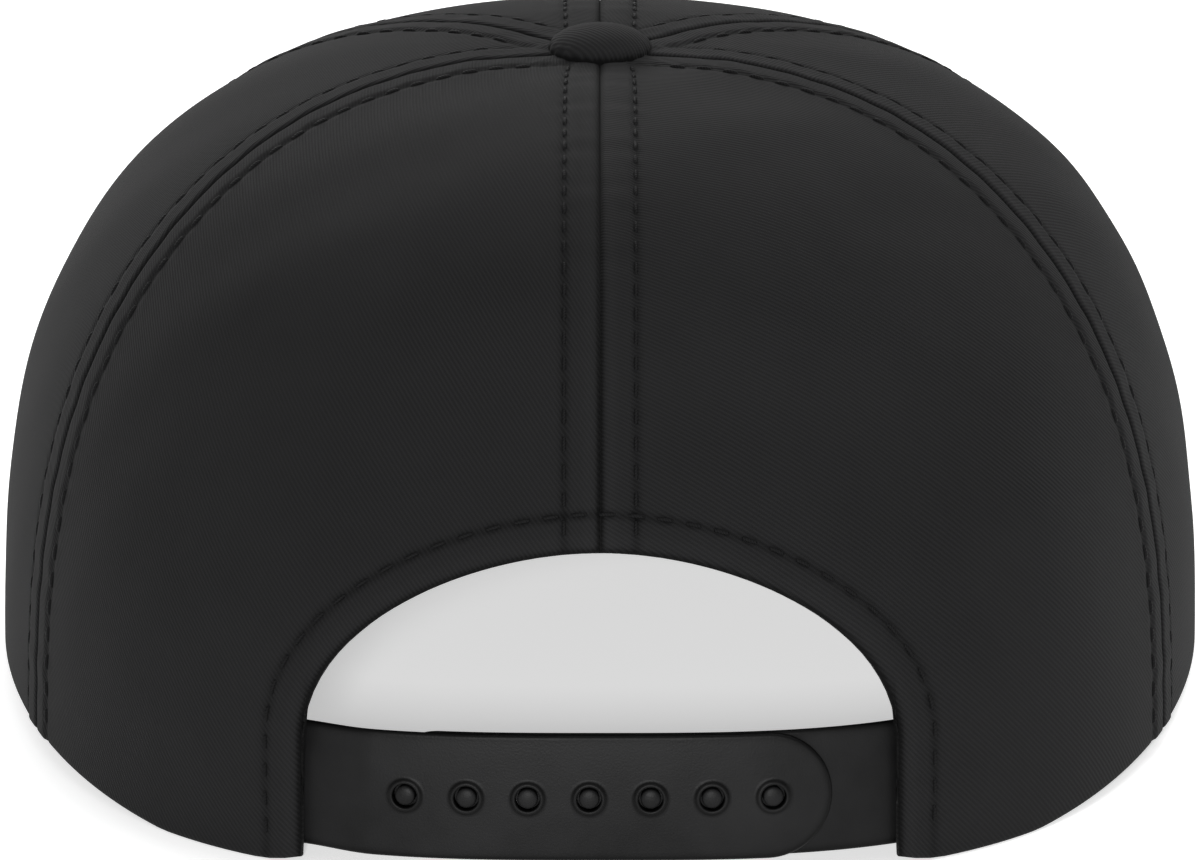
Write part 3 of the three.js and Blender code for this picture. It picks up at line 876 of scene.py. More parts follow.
def back_left(climb):
    """Angle of the left back seam."""
    return seam_angle(BACK_SEAM, climb)


def front_left(climb):
    """Angle of the left front seam."""
    return -seam_angle(FRONT_SEAM, climb)


def back_centre(climb):
    """Angle of the back seam."""
    return climb * 0 + math.pi / 2


def front_centre(climb):
    """Angle of the front seam."""
    return climb * 0 - math.pi / 2


def mirrored(seam):
    """The same seam on the wearer's right."""
    return lambda climb: math.pi - seam(climb)


# Each left panel: the seams that it lies between in turning order, and how soft it is.
PANELS = {
    "back": (back_left, back_centre, back_panel_edge, 1.0),
    "side": (front_left, back_left, None, 0.8),
    "front": (front_centre, front_left, None, 0.45),
}


def panel_grids(part, side, cloth, stitches):
    """Outer and inner points of a panel, and its maps of weave and stitching."""
    seam_from, seam_to, lower_edge, softness = PANELS[part]
    angle, climb = panel_places(seam_from, seam_to, lower_edge)
    if side == "right":
        angle, climb = math.pi - angle[::-1], climb[::-1]
        seam_from, seam_to = mirrored(seam_to), mirrored(seam_from)
    across = read_table(LENGTH_ACROSS, angle, climb)
    start = read_table(LENGTH_ACROSS, seam_from(climb), climb) + SEAM_GAP
    end = read_table(LENGTH_ACROSS, seam_to(climb), climb) - SEAM_GAP
    speed = np.linalg.norm(crown_directions(angle, climb)[0], axis=-1)
    inside = np.clip(across, start, end)
    angle = angle + (inside - across) / speed
    from_start, to_end = inside - start, end - inside
    up = read_table(LENGTH_UP, angle, climb)
    seam_distance = np.minimum(from_start, to_end)
    base = crown_point(angle, climb)

    edge_distance = up
    # The twill reads these for the pull and for painted shade along the stitch lines and the seams.
    seam_stitching = np.stack([up, seam_distance - stitches.from_seam], -1)
    arch_stitching = np.ones(seam_stitching.shape)
    relief = hem_relief(from_start, stitches.from_seam, cloth)
    relief = relief + hem_relief(to_end, stitches.from_seam, cloth)
    relief = relief + puckers(up, seam_distance, stitches.from_seam)
    if lower_edge is not None:
        seen = np.stack([np.abs(base[..., 0]), base[..., 2]], -1)
        outline = arch_outline(np.linspace(0, 1, 500))
        arch_distance, arch_run = distance_to_line(seen, outline)
        edge_distance = np.minimum(up, arch_distance)
        relief = relief + hem_relief(arch_distance, stitches.from_arch, cloth)
        relief = relief + puckers(arch_run, arch_distance, stitches.from_arch)
        arch_stitching = np.stack([arch_run, arch_distance - stitches.from_arch], -1)
    calm = 1 - bell(np.minimum(seam_distance, edge_distance), CALM_WIDTH)
    relief = relief + ripples(base, cloth.ripple * softness) * calm

    seam_drop = quarter_round(seam_distance, cloth.seam_roll)
    edge_drop = quarter_round(edge_distance, cloth.seam_roll)
    drop = np.maximum(seam_drop, edge_drop)
    outward = crown_outward(angle, climb)
    outer = base + outward * (relief - drop)[..., None]
    slant = SEAM_SLANT * bell(seam_distance, SEAM_SLANT_WIDTH)
    turning = unit(crown_directions(angle, climb)[0])
    inner = base - outward * (CLOTH_WALL - INNER_ROLL_SHARE * drop)[..., None]
    inner = inner + turning * slant[..., None]
    maps = {
        "weave": cut_places(across, (seam_from(climb) + seam_to(climb)) / 2, climb),
        "seam_stitching": seam_stitching,
        "arch_stitching": arch_stitching,
    }
    return outer, inner, maps


def cut_places(across, middle, climb):
    """Places in the flat cloth that a panel was cut from: u is the length across from the panel's
    middle line, and v the length up that line plus u^2 / 2 times the bend of a level line there."""
    step = 0.01
    u = across - read_table(LENGTH_ACROSS, middle, climb)
    low = crown_point(middle, np.maximum(climb - step, 0))
    high = crown_point(middle, np.minimum(climb + step, math.pi / 2))
    low_radius = np.hypot(low[..., 0], low[..., 1] - AXIS_Y)
    high_radius = np.hypot(high[..., 0], high[..., 1] - AXIS_Y)
    narrowing = (low_radius - high_radius) / np.linalg.norm(high - low, axis=-1)
    bend = narrowing * 2 / (low_radius + high_radius)
    v = read_table(LENGTH_UP, middle, climb) + u**2 * bend / 2
    return np.stack([u, v], -1)


def make_panel(part, side, cloth, stitches, material):
    """One panel as a closed shell of cloth."""
    outer, inner, grids = panel_grids(part, side, cloth, stitches)
    maps = {name: both_faces(grid, grid) for name, grid in grids.items()}
    return new_piece(
        f"{part}_{side}_cloth", both_faces(outer, inner), shell_faces(*outer.shape[:2]), maps,
        material, [f"panel_{part}_{side}"],
    )


# Stitches.

STITCH_RINGS = 7
STITCH_SIDES = 6
STITCH_BRIDGE = 1.2 * MM
STITCH_LIFT = 0.07 * MM
STITCH_DIVE = 0.6 * MM
STITCH_TAPER = 0.45

# Rows along the seams: where they start above the rim or the arch, and how far they keep off the
# button and off the next seam's row. The row round the arch starts above the floor.
ROW_START = 2 * MM
ROW_START_OVER_ARCH = 1.2 * MM
ROW_OFF_BUTTON = 0.8 * MM
ROW_OFF_NEIGHBOUR = 1.0 * MM
ARCH_ROW_START = 3.0 * MM


def settled(line, outward, trees):
    """A line moved along its normals onto the cloth. It bridges narrow valleys: its height is the
    highest within a reach on both sides, evened out over the same reach."""
    above = 3 * MM
    height = np.zeros(len(line))
    for place, (point, out) in enumerate(zip(line, outward)):
        start = Vector(point + out * above)
        found = [tree.ray_cast(start, Vector(-out), 2 * above)[3] for tree in trees]
        height[place] = above - min([distance for distance in found if distance], default=above)
    step = np.linalg.norm(line[-1] - line[0]) / len(line)
    reach = max(1, int(STITCH_BRIDGE / max(step, 0.1 * MM)))
    for combine in (np.max, np.mean):
        padded = np.pad(height, reach, mode="edge")
        windows = np.lib.stride_tricks.sliding_window_view(padded, 2 * reach + 1)
        height = combine(windows, axis=-1)
    return line + outward * height[:, None]


def stitch_row(line, outward, stitches):
    """Points of the stitches along a finely drawn line on the cloth. Each stitch is a short tube
    whose ends dive into the cloth: height = lift - dive * t^4 for t from -1 to 1."""
    run = run_along(line)
    count = int(run[-1] / stitches.pitch)
    t = np.linspace(-1, 1, STITCH_RINGS)
    centres = (np.arange(count) + 0.5) * stitches.pitch
    at = centres[:, None] + t * stitches.length / 2

    def on(values, places):
        return np.stack([np.interp(places, run, values[:, k]) for k in range(3)], -1)

    step = 0.2 * MM
    along = unit(on(line, at + step) - on(line, at - step))
    out = unit(on(outward, at))
    aside = np.cross(along, out)
    thick = stitches.width / 2 * (1 - STITCH_TAPER * np.abs(t) ** 5)
    height = STITCH_LIFT - STITCH_DIVE * t**4
    turn = even_turns(STITCH_SIDES)
    ring = aside[:, :, None] * np.cos(turn)[:, None] + out[:, :, None] * np.sin(turn)[:, None]
    points = (on(line, at) + out * height[:, None])[:, :, None] + ring * thick[:, None, None]
    maps = np.stack(np.broadcast_arrays(turn / (2 * math.pi), at[..., None]), -1)
    return points, maps


def make_stitches(name, rows, on, stitches, material):
    """All the stitches of a group of rows as one piece, laid on the named pieces of cloth."""
    graph = bpy.context.evaluated_depsgraph_get()
    trees = [BVHTree.FromObject(bpy.data.objects[piece], graph) for piece in on]
    made = [
        stitch_row(settled(line, outward, trees), outward, stitches) for line, outward in rows
    ]
    points = np.concatenate([points for points, _ in made])
    maps = np.concatenate([weave for _, weave in made])
    faces = tube_faces(*points.shape[:3])
    return new_piece(name, points, faces, {"weave": maps.reshape(-1, 2)}, material)


def seam_rows(stitches):
    """Lines on both sides of each seam, from the lower edge to where the next seam's line meets
    them or the button hides them."""
    fine = 600
    part_way_up = 0.8
    offset = stitches.from_seam
    seams = [
        (back_centre, (back_left, mirrored(back_left)), True),
        (back_left, (front_left, back_centre), False),
        (mirrored(back_left), (mirrored(front_left), back_centre), False),
        (front_left, (front_centre, back_left), False),
        (mirrored(front_left), (mirrored(front_centre), mirrored(back_left)), False),
        (front_centre, (mirrored(front_left), front_left), False),
    ]
    rows = []
    for seam, neighbours, over_arch in seams:
        for neighbour in neighbours:
            top = math.pi / 2
            span = (neighbour(top) - seam(top) + math.pi) % (2 * math.pi) - math.pi
            meet = offset / math.sin(abs(span) / 2) + ROW_OFF_NEIGHBOUR
            meet = max(BUTTON_RADIUS + ROW_OFF_BUTTON, meet)
            angle = seam(np.array(part_way_up))
            start = rim_height(angle) + ROW_START
            if over_arch:
                start = ARCH_HEIGHT + ROW_START_OVER_ARCH
            low = float(climb_at_height(angle, start))
            high = float(climb_at_radius(seam(np.array(top)), meet))
            climb = low + (high - low) * (1 - np.cos(np.linspace(0, math.pi, fine))) / 2
            middle = seam(climb)
            speed = np.linalg.norm(crown_directions(middle, climb)[0], axis=-1)
            angle = middle + np.sign(span) * offset / speed
            rows.append((crown_point(angle, climb), crown_outward(angle, climb)))
    return rows


def arch_rows(stitches):
    """One line round the opening at a distance from its edge, as seen from behind."""
    shares = np.linspace(0.02, 1, 500)
    left = arch_outline(shares, stitches.from_arch)
    left = left[left[:, 0] > 0]
    line = np.concatenate([left, left[-2::-1] * [-1, 1]])
    line = line[line[:, 1] > ARCH_ROW_START]
    angle, climb = wall_place(line[:, 0], line[:, 1])
    return [(crown_point(angle, climb), crown_outward(angle, climb))]


# Button.

# The button has no stitches, so the line of its map lies past its middle.
BUTTON_LINE = 20 * MM
BUTTON_TUCK = 0.5 * MM
SHANK_BELOW_CLOTH = 1 * MM

# Pleats: their height, the power with which they fade towards the middle, and the number, strength
# and start of each wave round the rim.
PLEAT_HEIGHT = 0.1 * MM
PLEAT_POWER = 8
PLEAT_WAVES = ((22, 1.0, 0.0), (13, 0.5, 1.0))


def make_button(material):
    """A dome, radius * cos(turn) by height * sin(turn), over a turned-under edge, with small pleats
    at its rim that fade with a high power of the radius, on its shank."""
    sides, rows, under = 96, 26, 6
    turn = np.linspace(0, math.pi / 2, rows)[::-1]
    radius = BUTTON_RADIUS * np.cos(turn)
    height = BUTTON_DOME * np.sin(turn) + CLEARANCE
    tuck = np.linspace(0, math.pi / 2, under + 1)[1:]
    radius = np.concatenate([radius, BUTTON_RADIUS - BUTTON_TUCK * (1 - np.cos(tuck))])
    height = np.concatenate([height, CLEARANCE - BUTTON_TUCK * np.sin(tuck)])
    shank = BUTTON_HOLE - CLEARANCE
    radius = np.concatenate([radius, [shank, shank, 0]])
    bottom = -CLOTH_WALL - SHANK_BELOW_CLOTH
    height = np.concatenate([height, [height[-1], bottom, bottom]])
    radius[0] = 0
    round_turn = even_turns(sides)
    waves = sum(
        strength * np.cos(number * round_turn + start) for number, strength, start in PLEAT_WAVES
    )
    pleat = PLEAT_HEIGHT * (radius[:, None] / BUTTON_RADIUS) ** PLEAT_POWER * waves
    wide = radius[:, None] + pleat * (radius[:, None] > BUTTON_RADIUS / 2)
    x = wide * np.cos(round_turn)
    y = wide * np.sin(round_turn) + AXIS_Y
    z = np.broadcast_to(height[:, None] + CROWN_HEIGHT - DIMPLE_DEPTH, x.shape)
    points = np.stack([x, y, z], -1)
    count = len(radius)
    run = np.cumsum(np.hypot(np.diff(radius, prepend=0), np.diff(height, prepend=height[0])))
    # Distance from the dome's rim, which the twill uses for painted shade round the button's rim.
    from_rim = np.maximum(run[rows - 1] - run, 0)[:, None]
    rim = np.stack(np.broadcast_arrays(round_turn, from_rim - BUTTON_LINE), -1)
    index = np.arange(count * sides).reshape(count, sides)
    ahead = np.roll(index, -1, axis=1)
    faces = np.stack([index[:-1], index[1:], ahead[1:], ahead[:-1]], -1)
    weave = points[..., :2].reshape(-1, 2)
    piece = new_piece(
        "covered_button", points, [faces.reshape(-1, 4)],
        {"weave": weave, "rim": rim.reshape(-1, 2)}, material, ["top_button"],
    )
    close_poles(piece.data)
    return piece


def close_poles(mesh):
    """Joins points that lie together, so that a pole is one point, and drops the faces that this
    leaves without area."""
    work = bmesh.new()
    work.from_mesh(mesh)
    bmesh.ops.remove_doubles(work, verts=work.verts, dist=1e-7)
    bmesh.ops.dissolve_degenerate(work, edges=work.edges, dist=1e-8)
    work.to_mesh(mesh)
    work.free()


# Peak.

PEAK_COLUMNS = 200
PEAK_BOARD_ROWS = 84
PEAK_EDGE_ROWS = 9
PEAK_STITCH_MARGIN = 5.2 * MM
PEAK_THIN_END = 0.12
QUILT_SINK = 0.2 * MM
QUILT_POWER = 24
ROW_SLACK = 0.1 * MM
SHORTEST_ROW = 20


def peak_edge(shares):
    """Points (x, y) of the free edge from the left corner to the right one: a squared half ellipse
    ahead of the widest line, and behind it a quarter on each side back to the corner."""
    corner = crown_point(np.array(-PEAK_CORNER), np.array(0.0))
    back = corner[1] - AXIS_Y
    power = 2 / PEAK_POWER
    corner_turn = math.acos((corner[0] / PEAK_HALF_WIDTH) ** (1 / power))
    forward = PEAK_FRONT - PEAK_WIDEST
    backward = (back + PEAK_WIDEST) / math.sin(corner_turn) ** power
    turn = lerp(-corner_turn, math.pi + corner_turn, shares)
    across = np.sign(np.cos(turn)) * np.abs(np.cos(turn)) ** power
    ahead = np.sign(np.sin(turn)) * np.abs(np.sin(turn)) ** power
    reach = np.where(ahead > 0, forward, backward)
    return np.stack([PEAK_HALF_WIDTH * across, AXIS_Y - PEAK_WIDEST - reach * ahead], -1)


def peak_seam(shares):
    """Points (x, y) where the peak is sewn in, a margin inside the cloth of the crown."""
    angle = lerp(-PEAK_CORNER, PEAK_CORNER - math.pi, shares)
    depth = (CLOTH_WALL + PEAK_SEAM_MARGIN) * np.ones(angle.shape)
    return shell_point(angle, np.zeros(angle.shape), depth)[..., :2]


def peak_quilting(distance, stitches):
    """Height of the cloth between the stitch lines of the peak: it sinks at each line by a narrow
    power of the cosine."""
    sunk = np.abs(np.cos(math.pi * distance / stitches.peak_spacing)) ** QUILT_POWER
    last = (stitches.peak_rows + 0.5) * stitches.peak_spacing
    inside = (distance > stitches.peak_spacing / 2) & (distance < last)
    return -QUILT_SINK * np.where(inside, sunk, 0)


def make_peak(stitches, material):
    """The board in its cloth: top and underside are grids from the seam to the edge, whose half
    thickness falls as a quarter circle at the edge and steeply where the board ends at the seam."""
    shares = np.linspace(0, 1, PEAK_COLUMNS + 1)
    seam, edge = peak_seam(shares)[:, None], peak_edge(shares)[:, None]
    reach = np.linalg.norm(edge - seam, axis=-1)
    half = PEAK_THICKNESS / 2
    board = np.append(0, np.linspace(0, 1, PEAK_BOARD_ROWS - 1))[None, :] * (reach - half)
    turn = np.linspace(0, math.pi / 2, PEAK_EDGE_ROWS + 1)[1:][None, :]
    distance = np.concatenate([board, reach - half + half * np.sin(turn)], axis=1)
    plan = lerp(seam, edge, (distance / reach)[..., None])
    from_edge = np.clip((reach - distance) / half, 0, 1)
    thick = half * np.maximum(PEAK_THIN_END, np.sqrt(1 - (1 - from_edge) ** 2))
    away, run = distance_to_line(plan, peak_edge(np.linspace(0, 1, 900)))
    thick = thick + peak_quilting(away, stitches)
    thick[:, 0] = half * PEAK_THIN_END
    middle = peak_underside(plan[..., 0]) + half
    top = np.concatenate([plan, (middle + thick)[..., None]], -1)
    under = np.concatenate([plan, np.maximum(middle - thick, 0)[..., None]], -1)
    flat = np.broadcast_to(half * turn, reach.shape[:1] + turn.shape[1:])
    flat = np.concatenate([board, reach - half + flat], axis=1)
    flat[:, 0] = half * (PEAK_THIN_END - 1)
    weave = lerp(seam, edge, (flat / reach)[..., None])
    # Distance from the nearest stitch line; the twill paints shade along each line and at the edge.
    line = np.round(away / stitches.peak_spacing).clip(1, stitches.peak_rows)
    stitching = np.stack([run, away - line * stitches.peak_spacing], -1)
    maps = {"weave": both_faces(weave, weave), "stitching": both_faces(stitching, stitching)}
    return new_piece(
        "peak_in_cloth", both_faces(top, under), shell_faces(*top.shape[:2]), maps, material,
        ["peak"],
    )


def round_axis(points):
    """Turn, from the wearer's left by way of the front, and radius of points round the axis."""
    x, ahead = points[:, 0], AXIS_Y - points[:, 1]
    return np.arctan2(ahead, x), np.hypot(x, ahead)


def peak_rows(stitches):
    """Lines on the peak's top and underside, parallel to its edge, as far as the crown."""
    edge = peak_edge(np.linspace(0, 1, 1500))
    along = unit(np.gradient(edge, axis=0))
    inward = np.stack([along[:, 1], -along[:, 0]], -1)
    seam_turn, seam_radius = round_axis(peak_seam(np.linspace(0, 1, 700)))
    rows = []
    for number in range(1, stitches.peak_rows + 1):
        offset = number * stitches.peak_spacing
        line = edge + inward * offset
        true_offset, _ = distance_to_line(line, edge)
        turn, radius = round_axis(line)
        clear = radius > np.interp(turn, seam_turn, seam_radius) + PEAK_STITCH_MARGIN
        line = line[clear & (true_offset > offset - ROW_SLACK)]
        if len(line) < SHORTEST_ROW:
            continue
        slope = -2 * PEAK_RISE * line[:, 0] / PEAK_FLAT_HALF_WIDTH**2
        up = unit(np.stack([-slope, np.zeros(len(line)), np.ones(len(line))], -1))
        low = peak_underside(line[:, 0])
        top = np.column_stack([line, low + PEAK_THICKNESS])
        under = np.column_stack([line, low])
        rows.append((top, up))
        rows.append((under, -up))
    return rows


# Rope.

# Its way in through the cloth: rings of the cutter, points on each ring, and the spare round the
# strands.
WAY_RINGS = 44
WAY_SIDES = 36
WAY_SPARE = 0.04 * MM


def rope_route(shares):
    """Middle line of the rope: along the joint of crown and peak, then up and, past the front seam,
    in through the side panel."""
    end = FRONT_SEAM[0] - ROPE_END_ANGLE
    angle = lerp(-end, end - math.pi, shares)
    from_side = np.arcsin(np.clip(-np.sin(angle), -1, 1))
    rising = 1 - smoothstep(from_side, end, FRONT_SEAM[0] + ROPE_RISE_ANGLE)
    entering = 1 - smoothstep(from_side, end, FRONT_SEAM[0])
    height = rim_height(angle) + ROPE_RADIUS + ROPE_END_RISE * rising
    climb = climb_at_height(angle, height)
    depth = lerp(-(ROPE_RADIUS + CLEARANCE), CLOTH_WALL + ROPE_RADIUS + ROPE_INSIDE, entering)
    return shell_point(angle, climb, depth), crown_outward(angle, climb)


def carried_rings(line, outward, offsets, radius, sides):
    """Rings round a line moved by offsets (aside, out) in its own frame."""
    along = unit(np.gradient(line, axis=0))
    out = unit(outward - along * np.sum(outward * along, -1, keepdims=True))
    aside = np.cross(along, out)
    centre = line + aside * offsets[:, :1] + out * offsets[:, 1:]
    along = unit(np.gradient(centre, axis=0))
    out = unit(out - along * np.sum(out * along, -1, keepdims=True))
    aside = np.cross(along, out)
    turn = even_turns(sides)
    ring = aside[:, None] * np.cos(turn)[:, None] + out[:, None] * np.sin(turn)[:, None]
    return centre[:, None] + ring * radius


def even_route(steps):
    """The rope's route at even steps of its length, with its length so far."""
    line, outward = rope_route(np.linspace(0, 1, 1200))
    run = run_along(line)
    at = np.linspace(0, run[-1], steps)
    line = np.stack([np.interp(at, run, line[:, k]) for k in range(3)], -1)
    outward = np.stack([np.interp(at, run, outward[:, k]) for k in range(3)], -1)
    return line, outward, at


def make_rope(trim, material):
    """Three strands laid round each other: each runs at a radius round the rope's middle line and
    turns once in each lay. Their surfaces press together a little."""
    sides = 14
    line, outward, at = even_route(ROPE_STEPS)
    rings = []
    for strand in range(STRANDS):
        turn = 2 * math.pi * (at / trim.rope_lay + strand / STRANDS)
        offsets = STRAND_LAY * np.stack([np.cos(turn), np.sin(turn)], -1)
        rings.append(carried_rings(line, outward, offsets, STRAND_RADIUS, sides))
    points = np.stack(rings)
    weave = np.stack(np.broadcast_arrays(np.arange(sides) / sides, at[:, None]), -1)
    weave = np.concatenate([weave.reshape(-1, 2)] * STRANDS)
    return new_piece(
        "laid_rope", points, tube_faces(*points.shape[:3]), {"weave": weave}, material,
        ["rope"],
    )


def strands_outline(turn, lay):
    """Radius of the three strands' outline at a turn from a strand. Across the rope a strand is an
    ellipse that lies off the middle, ((r cos - off) / high)^2 + (r sin / wide)^2 = 1, and the
    radius is the larger root of this."""
    third = 2 * math.pi / STRANDS
    away = (turn + third / 2) % third - third / 2
    wide = STRAND_RADIUS * math.hypot(1, 2 * math.pi * STRAND_LAY / lay)
    square = (np.cos(away) / STRAND_RADIUS) ** 2 + (np.sin(away) / wide) ** 2
    half = STRAND_LAY * np.cos(away) / STRAND_RADIUS**2
    rest = (STRAND_LAY / STRAND_RADIUS) ** 2 - 1
    return (half + np.sqrt(half**2 - square * rest)) / square


def cut_rope_hole(panel, side, trim):
    """Cuts the way in of the rope through a side panel, a hair wider than the strands' outline."""
    line, outward, at = even_route(ROPE_STEPS)
    around = even_turns(WAY_SIDES)
    radius = strands_outline(around - 2 * math.pi * at[:, None] / trim.rope_lay, trim.rope_lay)
    radius = (radius + WAY_SPARE)[..., None]
    rings = carried_rings(line, outward, np.zeros((ROPE_STEPS, 2)), radius, WAY_SIDES)
    rings = rings[:WAY_RINGS] if side == "left" else rings[-WAY_RINGS:]
    mesh = new_mesh("rope_way", rings.reshape(-1, 3), tube_faces(1, WAY_RINGS, WAY_SIDES), {})
    cutter = bpy.data.objects.new("rope_way", mesh)
    bpy.context.scene.collection.objects.link(cutter)
    cut = panel.modifiers.new("rope_way", "BOOLEAN")
    cut.operation = "DIFFERENCE"
    cut.solver = "EXACT"
    cut.object = cutter
    bpy.context.view_layer.update()
    seen = panel.evaluated_get(bpy.context.evaluated_depsgraph_get())
    whole = bpy.data.meshes.new_from_object(seen)
    panel.modifiers.clear()
    panel.data = whole
    bpy.data.objects.remove(cutter)


# Straps.

# The grids: cells from one snap to the next on each strap, columns in a tip and where they start,
# rows crowded at an edge, and the cells round a snap that make way for its hole and that are drawn.
OUTER_CELLS = 32
INNER_CELLS = 14
TIP_COLUMNS = 36
TIP_START = math.radians(3)
EDGE_CROWDING = np.array([0, 0.05, 0.15, 0.3, 0.5, 0.75])
HOLE_CELLS = 5
DRAWN_CELLS = 14

# The rims of the holes are rounded, and the pegs have a low dome.
RIM_ROUNDING = 0.2 * MM
PEG_DOME = 0.45 * MM
PEG_POLE = 0.02
PEG_SIDES = 28
PEG_ROWS = 9


def strap_grid(tip, tab_end, spacing, edge):
    """Places (x, z) of a strap's grid, its columns running towards the wearer's right, and the
    distance of each place from the outline. The tip is a half circle as high as the strap, and the
    straight columns lie at whole steps from the snaps."""
    radius = STRAP_HEIGHT / 2
    towards = math.copysign(1, tab_end - tip)
    round_end = tip + towards * radius
    steps_to_end = math.ceil(towards * (round_end - FIRST_SNAP) / spacing)
    first = FIRST_SNAP + towards * steps_to_end * spacing
    turn = np.linspace(TIP_START, math.pi / 2, TIP_COLUMNS)[:-1]
    straight = first + towards * np.arange(int(abs(tab_end - first) / spacing) + 1) * spacing
    x = np.concatenate([tip + (first - tip) * (1 - np.cos(turn)), straight])
    x = np.sort(x)[::-1]
    in_tip = np.clip(towards * (round_end - x), 0, radius)[:, None]
    half = np.sqrt(radius**2 - in_tip**2)
    steps = int((radius - edge) / spacing)
    rows = np.arange(-steps, steps + 1) * spacing / radius
    crowded = 1 - (1 - rows[-1]) * EDGE_CROWDING
    z = STRAP_MIDDLE + half * np.concatenate([-crowded, rows, crowded[::-1]])
    x = np.broadcast_to(x[:, None], z.shape)
    from_outline = radius - np.hypot(in_tip, z - STRAP_MIDDLE)
    return x, z, np.maximum(0, from_outline)


def strap_depth(x):
    """Depth of the outer strap in the back wall: it steps over the inner strap where they meet."""
    sewn = CLOTH_WALL + CLEARANCE
    over = sewn - STRAP_THICKNESS - CLEARANCE
    return lerp(over, sewn, smoothstep(x, INNER_TIP, ARCH_HALF_WIDTH))


def snap_places():
    """x of each snap."""
    return FIRST_SNAP - np.arange(SNAP_COUNT) * SNAP_PITCH


def strap_points(x, z, from_outline, depth, edge, rise=0.0):
    """Outer and inner points of a strap whose edges are rounded on both faces."""
    drop = quarter_round(from_outline, edge)
    outer = wall_point(x, z, depth + drop - rise)
    inner = wall_point(x, z, depth + STRAP_THICKNESS - drop)
    return outer, inner


def punch(x, z, spacing):
    """Moves the grid round each snap so that a block of cells becomes a round hole. With w from 0
    at the block's edge to 1 at the outer square, a point goes to the radius hole + (reach - hole)
    * w^1.5 in its own direction, eased back to its own place with w^4. Returns the points to leave
    out too, and the distance of each point from its snap."""
    block, reach = HOLE_CELLS * spacing, DRAWN_CELLS * spacing
    gone = np.zeros(x.shape, bool)
    ring = np.full(x.shape, np.inf)
    new_x, new_z = x.copy(), z.copy()
    for place in snap_places():
        dx, dz = x - place, z - STRAP_MIDDLE
        square = np.maximum(np.abs(dx), np.abs(dz))
        far = np.maximum(np.hypot(dx, dz), 1e-9)
        share = np.clip((square - block) / (reach - block), 0, 1)
        radius = lerp(SNAP_HOLE + (reach - SNAP_HOLE) * share**1.5, far, share**4)
        moved = square < reach
        new_x = np.where(moved, place + dx / far * radius, new_x)
        new_z = np.where(moved, STRAP_MIDDLE + dz / far * radius, new_z)
        gone = gone | (square < block - 0.5 * spacing)
        ring = np.minimum(ring, np.hypot(new_x - place, new_z - STRAP_MIDDLE))
    return new_x, new_z, gone, ring


def make_outer_strap(trim, material):
    """The strap with the holes: one closed shell whose grid is drawn to round holes, each with a
    raised rim."""
    spacing = SNAP_PITCH / OUTER_CELLS
    x, z, from_outline = strap_grid(
        OUTER_TIP, ARCH_HALF_WIDTH + STRAP_TAB, spacing, trim.strap_edge
    )
    x, z, gone, ring = punch(x, z, spacing)
    rim_edge = SNAP_HOLE + SNAP_RIM_WIDTH
    fall = smoothstep(ring, rim_edge - RIM_ROUNDING, rim_edge + RIM_ROUNDING)
    rise = SNAP_RIM_HEIGHT * (1 - fall) - quarter_round(ring - SNAP_HOLE, RIM_ROUNDING)
    outer, inner = strap_points(x, z, from_outline, strap_depth(x), trim.strap_edge, rise)
    # Distance from the hole's edge and the rim's foot, where the plastic gets painted shade.
    circle = np.minimum(np.abs(ring - SNAP_HOLE), np.abs(ring - rim_edge))
    edges = np.stack([from_outline, circle], -1)
    return new_piece(
        "strap_with_holes", both_faces(outer, inner), punched_faces(gone),
        {"edges": both_faces(edges, edges)}, material, ["strap_outer"],
    )


def punched_faces(gone):
    """Faces of a closed shell without the cells whose corners are all marked or border on marked
    points, and with walls between the two grids round each hole."""
    columns, rows = gone.shape
    index = np.arange(columns * rows).reshape(columns, rows)
    open_cell = gone[:-1, :-1] | gone[1:, :-1] | gone[1:, 1:] | gone[:-1, 1:]
    faces = shell_faces(columns, rows)
    kept = ~open_cell.ravel()
    faces[0], faces[1] = faces[0][kept], faces[1][kept]
    walls = []
    shift = columns * rows
    across = np.zeros((columns - 1, rows), bool)
    across[:, 1:-1] = open_cell[:, 1:] != open_cell[:, :-1]
    for i, j in np.argwhere(across):
        a, b = index[i, j], index[i + 1, j]
        if not open_cell[i, j]:
            a, b = b, a
        walls.append([a, b, b + shift, a + shift])
    along = np.zeros((columns, rows - 1), bool)
    along[1:-1] = open_cell[1:] != open_cell[:-1]
    for i, j in np.argwhere(along):
        a, b = index[i, j], index[i, j + 1]
        if open_cell[i, j]:
            a, b = b, a
        walls.append([a, b, b + shift, a + shift])
    return [*faces, np.array(walls)]


def peg_points(place):
    """A peg that stands out of the inner strap: a cylinder under a low dome."""
    radius = SNAP_HOLE - CLEARANCE
    height = CLEARANCE + STRAP_THICKNESS + SNAP_RIM_HEIGHT
    turn = np.linspace(0, math.pi / 2, PEG_ROWS)
    profile_radius = np.concatenate([[radius], radius * np.cos(turn)])
    dome = height - PEG_DOME + PEG_DOME * np.sin(turn)
    profile_height = np.concatenate([[-STRAP_THICKNESS / 2], dome])
    profile_radius[-1] = radius * PEG_POLE
    base = wall_point(np.array(place), np.array(STRAP_MIDDLE), np.array(CLOTH_WALL + CLEARANCE))
    angle, climb = wall_place(np.array(place), np.array(STRAP_MIDDLE))
    out = crown_outward(angle, climb)
    aside = unit(np.cross([0, 0, 1.0], out))
    up = np.cross(out, aside)
    around = even_turns(PEG_SIDES)
    ring = up * np.cos(around)[:, None] + aside * np.sin(around)[:, None]
    return base + ring * profile_radius[:, None, None] + out * profile_height[:, None, None]


